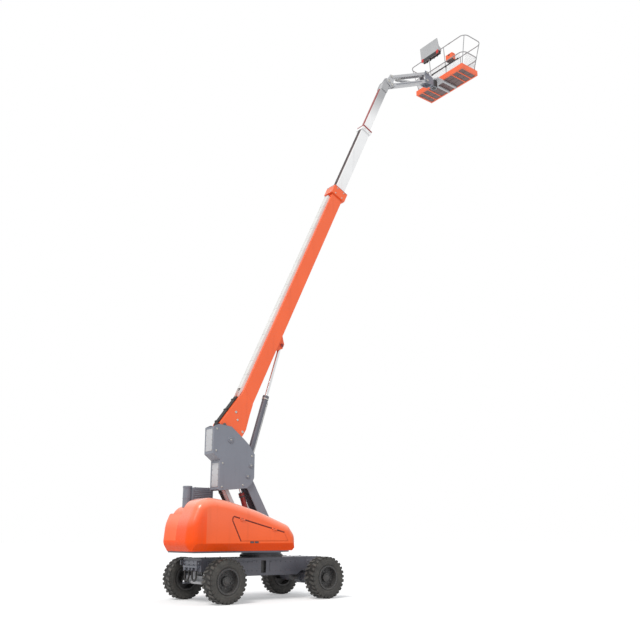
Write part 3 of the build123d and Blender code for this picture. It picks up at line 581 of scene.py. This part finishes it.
for name, x, sign in WHEELS:
    body = f"wheel_{name}"
    out = (0.0, sign, 0.0)
    tyre = Piece(Matrix.Translation((x, sign * WHEEL_Y, TYRE_R)))
    tyre.lathe((0, 0, 0), out, WALL + [(r, -h) for r, h in reversed(WALL)], 112, ring=True)
    for row in (1, -1):
        lag = 0.5 if row < 0 else 0.0
        for step in range(2 * BARS):
            foot_at, top_at, top_r = BAR_FOOT, BAR_TOP, TYRE_R
            if step % 2:
                foot_at, top_at, top_r = KEY_FOOT, KEY_TOP, TYRE_R - KEY_DROP
            deg = 180.0 + (0.5 * step + lag) * 360.0 / BARS
            spin = Matrix.Rotation(math.radians(deg), 4, "Y")
            low = [tyre.vert(spin @ Vector((a, sign * row * b, BAR_ROOT))) for a, b in foot_at]
            high = [tyre.vert(spin @ Vector((a, sign * row * b, top_r))) for a, b in top_at]
            tyre.bm.faces.new(low)
            top_face = tyre.bm.faces.new(high)
            for k in range(4):
                n = (k + 1) % 4
                tyre.bm.faces.new([low[k], low[n], high[n], high[k]])
            bmesh.ops.bevel(tyre.bm, geom=list(top_face.edges), offset=0.006, segments=2, profile=0.6,
                            affect="EDGES")
    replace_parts(tyre.done(f"moulded_tyre_{name}", body, "tread", smooth=32.0), f"tyre_{name}")

    hub = Piece()
    hub.lathe((x, sign * (WHEEL_Y + 0.094), TYRE_R), out, HUB, 32)
    hub.done(f"hub_cover_{name}", body, "rim")
    nuts = Piece()
    face_y = sign * (WHEEL_Y + 0.045)
    for k in range(NUTS):
        a = 2 * math.pi * (k + 0.5) / NUTS
        at = (x + NUT_REACH * math.cos(a), face_y, TYRE_R + NUT_REACH * math.sin(a))
        nuts.bolt(at, out, 0.019)
        nuts.rod(at, (at[0], at[1] + sign * 0.034, at[2]), 0.010, 10, bevel=0.002)
    nuts.bolt_ring((x, sign * (WHEEL_Y + 0.111), TYRE_R), out, 0.090, 8, 0.008)
    nuts.done(f"wheel_nuts_{name}", body, "iron")
    bead = Piece()
    for face in (1, -1):
        bead.lathe((x, sign * WHEEL_Y + face * 0.172, TYRE_R), (0.0, face, 0.0), BEAD, 64, ring=True)
    for k in range(HOLES):
        a = 2 * math.pi * k / HOLES + 0.3
        at = (x + HOLE_REACH * math.cos(a), face_y, TYRE_R + HOLE_REACH * math.sin(a))
        bead.lathe(at, out, [(0.026, -0.001), (0.026, 0.004), (0.031, 0.005), (0.034, 0.001)], 20, ring=True)
    valve = [(x + 0.168, face_y, TYRE_R - 0.172), (x + 0.172, face_y + sign * 0.030, TYRE_R - 0.176),
             (x + 0.186, face_y + sign * 0.055, TYRE_R - 0.190),
             (x + 0.196, face_y + sign * 0.075, TYRE_R - 0.200)]
    bead.pipe(smooth_line(valve), 0.006, 8)
    bead.done(f"bead_ring_{name}", body, "rim")

# Slew gear teeth on the outer race
TEETH = 72
gear = Piece()
for k in range(TEETH):
    gear.turn = Matrix.Translation((SLEW_X, 0.0, 0.0)) @ Matrix.Rotation(2 * math.pi * k / TEETH, 4, "Z")
    gear.plate([(0.556, 1.070), (0.585, 1.074), (0.585, 1.126), (0.556, 1.130)], -0.013, 0.013)
gear.done("slew_gear_teeth", "chassis", "iron")

# Chassis covers, weld seams, bolts, pipes, tank, hose loops and drive motor
covers = Piece()
bolts = Piece()
for sign in (-1, 1):
    y = sign * FRAME_Y
    z0, z1 = 0.700, 0.985
    for x0, x1 in ((0.16, 1.04), (-0.98, -0.21)):
        covers.box((x0, y - sign * 0.001, z0), (x1, y + sign * 0.006, z1), 0.002)
        for k in range(6):
            for z in (z0 + 0.03, z1 - 0.03):
                bolts.bolt((x0 + 0.035 + (x1 - x0 - 0.07) * k / 5, y + sign * 0.006, z), (0, sign, 0), 0.011)
    for x0, x1, z in ((-1.89, 1.89, 1.058), (-1.09, 1.07, 0.612), (1.24, 1.89, 0.722),
                      (-1.89, -1.26, 0.742)):
        covers.rod((x0, y, z), (x1, y, z), 0.006, 8)
    for x0, x1 in ((-1.74, -1.38), (1.38, 1.74)):
        covers.box((x0, y - sign * 0.001, 0.800), (x1, y + sign * 0.012, 0.985), 0.004)
        for k in range(4):
            for z in (0.830, 0.955):
                bolts.bolt((x0 + 0.04 + (x1 - x0 - 0.08) * k / 3, y + sign * 0.012, z), (0, sign, 0), 0.014)
    bolts.bolt_ring((AXLE_X, sign * 0.852, TYRE_R), (0, sign, 0), 0.105, 12, 0.010)
    bolts.bolt_ring((AXLE_X, sign * 0.130, TYRE_R), (0, sign, 0), 0.160, 14, 0.009)
for x in (-1.75, -1.30, -0.85, 1.00, 1.45, 1.80):
    for y in (-0.40, 0.40):
        bolts.bolt((x, y, 1.060), (0, 0, 1), 0.016)
for y in (-0.35, -0.12, 0.12, 0.35):
    for z in (0.905, 0.970):
        bolts.bolt((-1.925, y, z), (-1, 0, 0), 0.012)
for up, z in ((1, 0.640), (-1, 0.430)):
    for sign in (-1, 1):
        bolts.bolt_ring((AXLE_X, sign * 0.345, z), (0, 0, up), 0.075, 4, 0.014, 0.5)
covers.done("chassis_covers", "chassis", "dark")
bolts.done("chassis_bolts", "chassis", "dark")
lines = Piece()
for k, y in enumerate((-0.24, -0.18, -0.12, 0.12, 0.18, 0.24)):
    z = 0.985 - 0.02 * (k % 2)
    lines.rod((-1.86, y, z), (1.40, y, z), 0.013, 10)
lines.done("chassis_pipes", "chassis", "hose")
tank = Piece()
tank.box((-0.320, -0.410, 0.676), (0.260, 0.410, 1.004), 0.020)
for x in (-0.230, 0.165):
    tank.box((x - 0.025, -0.416, 0.670), (x + 0.025, 0.416, 1.010), 0.006)
    for y in (-0.30, 0.30):
        tank.bolt((x, y, 0.670), (0, 0, -1), 0.012)
tank.lathe((-0.03, 0.0, 0.680), (0, 0, -1),
           [(0.060, 0.0), (0.060, 0.012), (0.030, 0.014), (0.026, 0.030), (0.0, 0.030)], 24)
tank.done("frame_tank", "chassis", "black")
LOOP_X = -1.935
LOOP_HALF = 0.110
LOOP_LOW = 0.626
LOOP_TOP = 0.780
loops = Piece()
for y in (-0.190, 0.190):
    bend = [(LOOP_X, y - LOOP_HALF, LOOP_TOP), (LOOP_X, y - LOOP_HALF, LOOP_LOW + 0.04)]
    for k in range(13):
        a = math.pi * (1 + k / 12)
        bend.append((LOOP_X, y + LOOP_HALF * math.cos(a), LOOP_LOW + 0.106 * math.sin(a)))
    bend += [(LOOP_X, y + LOOP_HALF, LOOP_LOW + 0.04), (LOOP_X, y + LOOP_HALF, LOOP_TOP)]
    loops.pipe(bend, 0.0235, 14)
loops.done("valve_hose_sleeves", "chassis", "hose")
motor = Piece()
motor.lathe((AXLE_X - 0.105, 0.0, TYRE_R), (-1, 0, 0),
            [(0.125, 0.0), (0.125, 0.030), (0.098, 0.040), (0.098, 0.150), (0.086, 0.158), (0.086, 0.250),
             (0.070, 0.262), (0.0, 0.262)], 32)
motor.box((AXLE_X - 0.330, -0.060, TYRE_R + 0.070), (AXLE_X - 0.180, 0.060, TYRE_R + 0.125), 0.010)
motor.bolt_ring((AXLE_X - 0.135, 0.0, TYRE_R), (-1, 0, 0), 0.112, 8, 0.008)
motor.done("drive_motor", "chassis", "iron")

# Hood latches, and dark strips of painted shadow along the door gap, which follow the door's opening round
# its blunt upper rear corner
DOOR = [(-1.440, 2.090), (0.200, 1.690), (0.330, 1.480), (-1.120, 1.480)]
DOOR_MID_Z = 1.6
BLUNT_TOP = 0.0445
BLUNT_REAR = 0.165
GAP_SHADOW_W = 0.026
bezel = Piece()
paddle = Piece()
gap_shadow = Piece()
for sign, drop in ((-1, 0.0), (1, 0.060)):
    y = sign * HOOD_Y
    for x in (-0.80, -0.66):
        bezel.box((x - 0.056, y - sign * 0.004, 1.430), (x + 0.056, y + sign * 0.006, 1.474), 0.003)
        paddle.box((x - 0.046, y, 1.442), (x + 0.028, y + sign * 0.012, 1.464), 0.003)
        paddle.rod((x + 0.040, y, 1.453), (x + 0.040, y + sign * 0.012, 1.453), 0.007, 12, 0.002)
    hole = [Vector((x, z - (drop if z > DOOR_MID_Z else 0.0))) for x, z in DOOR]
    top_at = hole[0].lerp(hole[1], BLUNT_TOP)
    rear_at = hole[0].lerp(hole[3], BLUNT_REAR)
    for a, b in ((top_at, hole[1]), (rear_at, top_at), (hole[3], rear_at)):
        ahead = (b - a).normalized()
        up = Vector((-ahead.y, ahead.x)) * GAP_SHADOW_W
        quad = [a, b, b + up, a + up]
        gap_shadow.plate([(p.x, p.y) for p in quad], y - sign * 0.003, y + sign * 0.003)
bezel.done("hood_latch_bezels", "turret", "black")
paddle.done("hood_latch_paddles", "turret", "iron")
gap_shadow.done("door_gap_shadow", "turret", "gap")

# Vent in the far hood: slats over a dark backing of painted shade
vent_shade = Piece()
slats = Piece()
for k in range(9):
    z = 1.62 + 0.045 * k
    slats.box((-1.62, HOOD_Y - 0.004, z), (-1.36, HOOD_Y + 0.010, z + 0.022), 0.004)
vent_shade.box((-1.64, HOOD_Y - 0.006, 1.60), (-1.34, HOOD_Y + 0.003, 2.03), 0.002)
vent_shade.done("far_hood_vent", "turret", "gap")
slats.done("far_hood_vent_slats", "turret", "orange")

# Air housing louvres, dark panels behind them, lid, post cap and band
POST = (-1.790, 0.640)
louvre = Piece()
back = Piece()
for k in range(6):
    z = 2.50 + 0.050 * k
    louvre.box((-1.670, 0.460, z), (-1.150, 0.472, z + 0.030), 0.004)
    louvre.box((-1.670, 0.828, z), (-1.150, 0.840, z + 0.030), 0.004)
    louvre.box((-1.108, 0.520, z), (-1.094, 0.780, z + 0.030), 0.004)
back.box((-1.690, 0.4665, 2.480), (-1.130, 0.4715, 2.810), 0.001)
back.box((-1.690, 0.8285, 2.480), (-1.130, 0.8335, 2.810), 0.001)
back.box((-1.1015, 0.500, 2.480), (-1.0975, 0.800, 2.810), 0.001)
louvre.box((-1.640, 0.510, 2.858), (-1.180, 0.790, 2.868), 0.004)
for x in (-1.610, -1.210):
    for y in (0.540, 0.760):
        louvre.bolt((x, y, 2.868), (0, 0, 1), 0.009)
louvre.lathe((*POST, 2.880), (0, 0, 1),
             [(0.121, -0.040), (0.128, -0.034), (0.128, 0.010), (0.118, 0.019), (0.0, 0.019)], 40)
louvre.lathe((*POST, 2.560), (0, 0, 1),
             [(0.1195, 0.0), (0.125, 0.003), (0.125, 0.027), (0.1195, 0.030)], 40, ring=True)
louvre.done("air_louvres", "turret", "mid")
back.done("air_intake", "turret", "dark")

# Engine dress: head cover, manifold, filters, side ribs and belt wheels
ENGINE_Y = -0.905
MANIFOLD_Y = -0.965
dress = Piece()
dress.box((-1.42, -0.80, 1.898), (-0.46, -0.60, 1.975), 0.02)
for k in range(4):
    x = -1.32 + 0.24 * k
    branch = [(x, ENGINE_Y, 1.72), (x, -0.955, 1.72), (x + 0.02, MANIFOLD_Y, 1.66),
              (x + 0.03, MANIFOLD_Y, 1.60)]
    dress.pipe(smooth_line(branch), 0.028, 14)
    dress.box((x - 0.05, -0.918, 1.66), (x + 0.05, ENGINE_Y, 1.78), 0.004)
dress.rod((-1.40, MANIFOLD_Y, 1.60), (-0.50, MANIFOLD_Y, 1.60), 0.040, 20, 0.006)
for x in (-0.95, -0.75):
    dress.rod((x, -0.90, 1.36), (x, -0.985, 1.36), 0.055, 24, 0.008)
dress.rod((-0.352, -0.70, 1.50), (-0.300, -0.70, 1.50), 0.110, 32, 0.006)
dress.rod((-0.352, -0.60, 1.74), (-0.300, -0.60, 1.74), 0.060, 28, 0.006)
for k in range(7):
    dress.box((-1.46 + 0.16 * k, -0.918, 1.28), (-1.40 + 0.16 * k, -0.908, 1.56), 0.004)
dress.bolt_ring((-0.30, -0.70, 1.50), (1, 0, 0), 0.05, 6, 0.008)
dress.done("engine_dress", "turret", "iron")

# Turret pins and tower bolts
tower = Piece()
for sign in (-1, 1):
    tower.cap((FRONT_PIN[0], sign * 0.235, FRONT_PIN[1]), (0, sign, 0), 0.080)
    tower.cap((RAM_PIN[0], sign * 0.210, RAM_PIN[1]), (0, sign, 0), 0.060)
    tower.cap((REAR_PIN[0], sign * 0.210, REAR_PIN[1]), (0, sign, 0), 0.055)
    for k in range(8):
        tower.bolt((-0.52 + 0.165 * k, sign * 0.250, 1.240), (0, 0, 1), 0.014)
tower.done("tower_pins", "turret", "zinc")

# Riser bars: cover and hoses on the rear bar, weld seams on the front one
cover = Piece(RISER_REAR)
cover.box((0.420, -0.136, 0.028), (1.600, 0.136, 0.040), 0.003)
for s in (0.46, 1.00, 1.56):
    for y in (-0.110, 0.0):
        cover.bolt((s, y, 0.040), (0, 0, 1), 0.009)
cover.done("riser_rear_cover", "riser_rear", "white")
hoses = Piece(RISER_REAR)
clips = Piece(RISER_REAR)
for y in (0.048, 0.090, 0.132):
    hoses.rod((0.50, y, 0.062), (1.64, y, 0.062), 0.018, 12, 0.003)
for s in (0.60, 1.05, 1.50):
    clips.box((s - 0.018, 0.024, 0.038), (s + 0.018, 0.156, 0.084), 0.004)
hoses.done("riser_hoses", "riser_rear", "hose")
clips.done("riser_hose_clips", "riser_rear", "iron")
ribs = Piece(RISER)
for sign in (-1, 1):
    ribs.rod((0.10, sign * 0.1655, -0.131), (1.62, sign * 0.1655, -0.131), 0.005, 8)
    ribs.rod((0.10, sign * 0.1655, 0.121), (1.62, sign * 0.1655, 0.121), 0.005, 8)
ribs.done("riser_welds", "riser_front", "mid")


# Gland, ports and feed pipe of a cylinder barrel that lies along its own frame
def ram_dress(name, body, place, length, r, key):
    piece = Piece(place)
    band = [(r + 0.0105, 0.0), (r + 0.0135, 0.004), (r + 0.0135, 0.036), (r + 0.0105, 0.040)]
    piece.lathe((length - 0.112, 0, 0), (1, 0, 0), band, 36, ring=True)
    gland = [(r + 0.004, 0.0), (r + 0.004, 0.010), (r * 0.74, 0.014), (r * 0.74, 0.0)]
    piece.lathe((length - 0.001, 0, 0), (1, 0, 0), gland, 36, ring=True)
    near, far = 0.190, length - 0.170
    for s in (near, far):
        piece.box((s - 0.026, -0.022, -r - 0.026), (s + 0.026, 0.022, -r + 0.012), 0.004)
    feed = [(near, 0.020), (near, 0.034), (0.230, 0.034), (0.300, 0.030), (length - 0.300, 0.030),
            (length - 0.210, 0.034), (far, 0.034), (far, 0.020)]
    piece.pipe(smooth_line([(s, 0, -r - t) for s, t in feed]), 0.009, 10)
    piece.done(name, body, key)


ram_dress("lift_ram_fittings", "lift_cylinder", LIFT_RAM, 2.100, 0.085, "zinc")
ram_dress("riser_ram_fittings", "riser_cylinder", RISER_RAM, 1.400, 0.070, "iron")
ram_dress("jib_ram_fittings", "jib_cylinder", JIB_RAM, 0.950, 0.042, "zinc")

# Knuckle: pin caps, plate bolts, rear covers and lifting lugs; the covers' light grey is a painted highlight
# on its lit rear faces
EAR = [(-1.275, 4.498), (-1.165, 4.488), (-1.185, 4.535), (-1.200, 4.548), (-1.240, 4.550),
       (-1.258, 4.538)]
caps = Piece()
plain = Piece()
lugs = Piece()
rear = Piece()
for sign in (-1, 1):
    for at, r in ((BOOM_PIN, 0.080), (LIFT_BASE, 0.062), (LINK_PIN, 0.058)):
        plain.cap((at[0], sign * KNUCKLE_Y, at[1]), (0, sign, 0), r)
        caps.bolt((at[0], sign * 0.257, at[1]), (0, sign, 0), 0.016)
    for x, z in ((-1.46, 4.38), (-1.46, 3.80), (-1.25, 2.86), (-0.60, 2.93), (-0.33, 3.72), (-1.25, 3.48)):
        caps.bolt((x, sign * 0.240, z), (0, sign, 0), 0.018)
    y0, y1 = sorted((sign * 0.214, sign * 0.241))
    lugs.plate(EAR, y0, y1)
    lugs.lathe((-1.220, sign * 0.240, 4.520), (0, sign, 0),
               [(0.012, 0.0), (0.012, 0.003), (0.020, 0.003), (0.020, 0.0)], 20, ring=True)
# Light grey rear covers: painted highlight on the knuckle's rear faces
for x, z0, z1 in ((-1.548, 3.79, 4.38), (-1.328, 2.86, 3.49)):
    rear.box((x - 0.008, -0.165, z0), (x + 0.001, 0.165, z1), 0.003)
    for k in range(5):
        for y in (-0.145, 0.145):
            caps.bolt((x - 0.008, y, z0 + 0.025 + (z1 - z0 - 0.05) * k / 4), (-1, 0, 0), 0.010)
caps.done("knuckle_bolts", "boom_knuckle", "zinc")
plain.done("knuckle_pin_caps", "boom_knuckle", "mid")
lugs.done("knuckle_lifting_lugs", "boom_knuckle", "iron")
rear.done("knuckle_rear_covers_painted_light", "boom_knuckle", "light")

# Main section: foot pins, lug pins, tray lid with straps, tray cap and collar lip
pins = Piece(BOOM)
for s, t, r in ((0.779, 0.176, 0.036), (0.606, 0.035, 0.030), (0.393, -0.250, 0.036)):
    for sign in (-1, 1):
        pins.lathe((s, sign * 0.193, t), (0, sign, 0),
                   [(r, 0.0), (r, 0.008), (r - 0.006, 0.013), (0.0, 0.013)], 20)
COLLAR_S = (MAIN_TIP - 0.27, MAIN_TIP - 0.06)
for sign in (-1, 1):
    for t in (-0.14, 0.14):
        for s in COLLAR_S:
            pins.bolt((s, sign * 0.215, t), (0, sign, 0), 0.016)
    for y in (-0.12, 0.12):
        for s in COLLAR_S:
            pins.bolt((s, y, sign * 0.285), (0, 0, sign), 0.016)
pins.done("boom_pins", "main_boom", "zinc")
# Dark red lug pin caps: painted shade of the orange lug in shade
lug_pins = Piece(BOOM)
for sign in (-1, 1):
    lug_pins.cap((LIFT_LUG[0], sign * 0.104, LIFT_LUG[1]), (0, sign, 0), 0.056)
lug_pins.done("lift_pin_caps", "main_boom", "red")
LID_FIRST = 1.520
LID_PITCH = 0.936
lid = Piece(BOOM)
straps = Piece(BOOM)
for k in range(8):
    s = LID_FIRST + LID_PITCH * k
    lid.box((s, -0.0860, 0.290), (s + 0.930, 0.0860, 0.298), 0.002)
    straps.box((s + 0.450, -0.0865, 0.2975), (s + 0.490, 0.0865, 0.3015), 0.001)
    for sign in (-1, 1):
        straps.bolt((s + 0.470, sign * 0.095, 0.262), (0, sign, 0), 0.008)
lid.done("tray_lid", "main_boom", "alloy")
straps.done("tray_straps", "main_boom", "alloy")
cap = Piece(BOOM)
cap.box((9.028, -0.100, 0.206), (9.052, 0.100, 0.306), 0.005)
cap.done("tray_end_cap", "main_boom", "red")
# Dark red collar lip: painted shade along the orange collar's edges
lip = Piece(BOOM)
for t0, t1, y0, y1 in ((0.250, 0.288, -0.218, 0.218), (-0.288, -0.250, -0.218, 0.218),
                       (-0.250, 0.250, -0.218, -0.180), (-0.250, 0.250, 0.180, 0.218)):
    lip.box((MAIN_TIP - 0.012, y0, t0), (MAIN_TIP + 0.003, y1, t1), 0.003)
lip.done("main_collar_lip", "main_boom", "red")

# Middle section: collar ring, chain links on its strip and collar bolts
ring = Piece(BOOM)
for t0, t1, y0, y1 in ((0.172, 0.209, -0.172, 0.172), (-0.209, -0.172, -0.172, 0.172),
                       (-0.172, 0.172, -0.172, -0.135), (-0.172, 0.172, 0.135, 0.172)):
    ring.box((MID_TIP - 0.055, y0, t0), (MID_TIP + 0.008, y1, t1), 0.003)
ring.done("mid_collar_ring", "mid_boom", "red")
links = Piece(BOOM)
for k in range(46):
    s = MAIN_TIP + 0.04 + 0.062 * k
    links.box((s, -0.060, 0.1915), (s + 0.044, 0.060, 0.1940), 0.001)
links.done("strip_links", "mid_boom", "hose")
mid_bolts = Piece(BOOM)
for sign in (-1, 1):
    for t in (-0.10, 0.10):
        mid_bolts.bolt((MID_TIP - 0.110, sign * 0.168, t), (0, sign, 0), 0.013)
mid_bolts.done("mid_collar_bolts", "mid_boom", "zinc")

# Jib head and jib: pin caps and pipe channels
fly_caps = Piece()
for sign in (-1, 1):
    for at, y, r in ((HEAD, 0.178, 0.062), (J1, JIB_CAP_Y, 0.052), (J2, JIB_CAP_Y, 0.048)):
        fly_caps.cap((at[0], sign * y, at[1]), (0, sign, 0), r)
fly_caps.done("jib_head_caps", "jib_head_body", "zinc")
channels = Piece(JIB)
for sign in (-1, 1):
    channels.box((0.30, sign * 0.125, -0.012), (1.85, sign * 0.130, 0.012), 0.003)
channels.done("jib_pipe_channel", "jib_bar_lower", "mid")

# Turning drive of the platform, with its bolts and the caps at the jib's far end
drive = Piece()
profile = [(0.118, 0.0), (0.134, 0.004)]
for k in range(6):
    z = 0.020 + 0.042 * k
    profile += [(0.134, z), (0.1395, z + 0.004), (0.1395, z + 0.022), (0.134, z + 0.026)]
profile += [(0.134, 0.298), (0.118, 0.302)]
drive.lathe((TURN_X, 0, J1_FAR[1] - 0.050), (0, 0, 1), profile, 48, ring=True)
drive.lathe((TURN_X, 0, J1_FAR[1] - 0.075), (0, 0, 1), [(0.0, 0.0), (0.070, 0.0), (0.085, 0.016)], 32)
drive.done("turning_drive", "platform_bracket_body", "black")
drive_bolts = Piece()
drive_bolts.bolt_ring((TURN_X, 0, J1_FAR[1] - 0.060), (0, 0, -1), 0.106, 10, 0.010)
for sign in (-1, 1):
    for at, r in ((J1_FAR, 0.052), (J2_FAR, 0.048)):
        drive_bolts.cap((at[0], sign * JIB_CAP_Y, at[1]), (0, sign, 0), r)
drive_bolts.done("bracket_caps", "platform_bracket_body", "zinc")

# Platform floor: panels between the ribs below, raised tread above
RIBS_Y = [-DECK_HALF_Y + 0.060, -0.975, -0.925, -0.675, -0.625, -0.215, -0.165, 0.165, 0.215, 0.625, 0.675,
          0.925, 0.975, DECK_HALF_Y - 0.060]
panels = Piece()
for y0, y1 in zip(RIBS_Y[::2], RIBS_Y[1::2]):
    panels.box((DECK_X0 + 0.062, y0 + 0.004, FLOOR_Z + 0.012),
               (DECK_X1 - 0.062, y1 - 0.004, FLOOR_Z + 0.059), 0.004)
    for lo, hi in ((0.30, 0.33), (0.57, 0.60)):
        panels.box((DECK_X0 + lo, y0 + 0.01, FLOOR_Z + 0.004),
                   (DECK_X0 + hi, y1 - 0.01, FLOOR_Z + 0.013), 0.003)
panels.done("floor_panels", "platform", "panel")
TREAD_ROWS = 28
TREAD_COLUMNS = 76
TREAD_SHAPE = [(-0.013, 0.0), (0.0, -0.004), (0.013, 0.0), (0.0, 0.004)]
tread = Piece()
for i in range(TREAD_ROWS):
    for k in range(TREAD_COLUMNS):
        x = DECK_X0 + 0.035 + 0.0305 * i
        y = -DECK_HALF_Y + 0.035 + 0.0315 * k
        a = math.radians(45 if (i + k) % 2 else -45)
        c, s = math.cos(a), math.sin(a)
        turned = [(u * c - v * s, u * s + v * c) for u, v in TREAD_SHAPE]
        low = [tread.vert((x + u, y + v, FOOT_Z - 0.0005)) for u, v in turned]
        high = [tread.vert((x + 0.6 * u, y + 0.6 * v, FOOT_Z + 0.003)) for u, v in turned]
        tread.bm.faces.new(high)
        for j in range(4):
            n = (j + 1) % 4
            tread.bm.faces.new([low[j], low[n], high[n], high[j]])
tread.done("floor_tread", "platform", "zinc")

# Rail fittings: sleeves at the joints, feet, mesh panels and the padded bar
OUTER_INSET = 0.005
fittings = Piece()


# The outer top rail is the machine's furthest reach, so its sleeves sit slightly inward
def sleeve_x(side, z):
    return rail_loop(z)[side] - (OUTER_INSET if side == 1 and z == TOP_RAIL else 0.0)


for side in (0, 1):
    for z in (TOP_RAIL, MID_RAIL):
        x = sleeve_x(side, z)
        for sign in (-1, 1):
            fittings.rod((x, sign * (JOIN_Y - 0.05), z), (x, sign * (JOIN_Y + 0.05), z), RAIL_R + 0.004, 20,
                         0.003)
    for y in (-0.400, 0.400):
        x = rail_loop(FOOT_Z)[side]
        fittings.box((x - 0.032, y - 0.045, FOOT_Z - 0.001), (x + 0.032, y + 0.045, FOOT_Z + 0.010), 0.003)
        for z in (MID_RAIL, TOP_RAIL):
            x = sleeve_x(side, z)
            fittings.lathe((x, y, z - 0.030), (0, 0, 1),
                           [(RAIL_R + 0.002, 0.0), (RAIL_R + 0.005, 0.012), (RAIL_R + 0.002, 0.022)], 18)
fittings.done("rail_fittings", "platform", "rail")
MESH_LOW = FLOOR_Z + 0.215
MESH_R = 0.0022
MESH_PITCH = 0.05
MESH_ROWS = 10
mesh_panels = Piece()
lo, hi = rail_loop(MESH_LOW), rail_loop(MID_RAIL)
for side in (0, 1):
    for k in range(47):
        y = -1.15 + MESH_PITCH * k
        mesh_panels.rod((lo[side], y, MESH_LOW - 0.03), (hi[side], y, MID_RAIL), MESH_R, 5)
    for k in range(MESH_ROWS):
        z = MESH_LOW + MESH_PITCH * k
        x = rail_loop(z)[side]
        mesh_panels.rod((x, -1.17, z), (x, 1.17, z), MESH_R, 5)
for sign in (-1, 1):
    for k in range(13):
        x = DECK_X0 + 0.15 + MESH_PITCH * k
        mesh_panels.rod((x, sign * lo[2], MESH_LOW - 0.03), (x, sign * hi[2], MID_RAIL), MESH_R, 5)
    for k in range(MESH_ROWS):
        z = MESH_LOW + MESH_PITCH * k
        y = sign * rail_loop(z)[2]
        mesh_panels.rod((DECK_X0 + 0.13, y, z), (DECK_X1 - 0.13, y, z), MESH_R, 5)
mesh_panels.done("rail_mesh", "platform", "light")
BAR_Z = FLOOR_Z + 0.500
pad = Piece()
bar_x = rail_loop(BAR_Z)[0] - 0.022
pad.rod((bar_x, -1.10, BAR_Z), (bar_x, 0.34, BAR_Z), 0.022, 18, 0.006)
for y in (-1.05, -0.40, 0.30):
    pad.box((bar_x - 0.004, y - 0.022, BAR_Z - 0.030), (bar_x + 0.034, y + 0.022, BAR_Z + 0.030), 0.004)
pad.done("bumper_bar", "platform", "hose")

# Console: lower box with cable glands, end plates with stop buttons, panel, levers and buttons
PANEL_Y0 = -0.130
PANEL_Y1 = 0.780
grip = rail_loop(TOP_RAIL)[0] + RAIL_R
lower = Piece()
lower.box((grip - 0.055, -0.120, TOP_RAIL - 0.105), (grip - 0.039, 0.770, TOP_RAIL + 0.028), 0.004)
lower.box((grip + 0.028, PANEL_Y0, TOP_RAIL - 0.090), (grip + 0.120, PANEL_Y1, TOP_RAIL + 0.026), 0.010)
for y in (0.02, 0.20, 0.40, 0.58):
    lower.rod((grip + 0.070, y, TOP_RAIL - 0.088), (grip + 0.070, y, TOP_RAIL - 0.150), 0.020, 14, 0.004)
lower.done("console_lower_box", "platform", "black")
BUTTON = [(0.013, 0.0), (0.013, 0.006), (0.009, 0.008), (0.009, 0.016), (0.0, 0.017)]
STOP = [(0.030, 0.0), (0.034, 0.012), (0.030, 0.026), (0.0, 0.030)]
LEVER = [(0.040, 0.0), (0.034, 0.020), (0.020, 0.036), (0.011, 0.044), (0.010, 0.110), (0.017, 0.118),
         (0.018, 0.160), (0.010, 0.172), (0.0, 0.174)]
ends = Piece()
for y in (-0.105, 0.715):
    ends.box((grip - 0.062, y - 0.040, TOP_RAIL - 0.100), (grip - 0.052, y + 0.075, TOP_RAIL + 0.075), 0.004)
    ends.lathe((grip + 0.075, y + 0.02, TOP_RAIL + 0.186), (0.52, 0, 0.85), STOP, 24)
ends.done("console_stop_buttons", "platform", "signal")
slant = Matrix.Rotation(math.atan2(0.080, 0.130), 4, "Y")
controls = Piece(Matrix.Translation((grip + 0.065, 0.0, TOP_RAIL + 0.190)) @ slant)
controls.box((-0.058, PANEL_Y0, -0.002), (0.058, PANEL_Y1, 0.004), 0.002)
for y in (0.06, 0.56):
    controls.lathe((0.0, y, 0.002), (0, 0, 1), LEVER, 20)
for k in range(6):
    for row in (-0.025, 0.020):
        controls.lathe((row, 0.19 + 0.045 * k, 0.003), (0, 0, 1), BUTTON, 14)
controls.done("console_controls", "platform", "black")

# Tool box: lid, dark foot and latch
mid_x = rail_loop(MID_RAIL)[0] + RAIL_R
box_lid = Piece()
box_lid.box((mid_x - 0.003, -0.764, MID_RAIL + 0.222), (mid_x + 0.194, -0.426, MID_RAIL + 0.264), 0.006)
box_lid.done("tool_box_lid", "platform", "orange")
foot = Piece()
foot.box((mid_x - 0.002, -0.757, MID_RAIL - 0.014), (mid_x + 0.186, -0.433, MID_RAIL + 0.030), 0.004)
foot.box((mid_x - 0.010, -0.640, MID_RAIL + 0.190), (mid_x + 0.001, -0.550, MID_RAIL + 0.240), 0.003)
foot.done("tool_box_trim", "platform", "black")
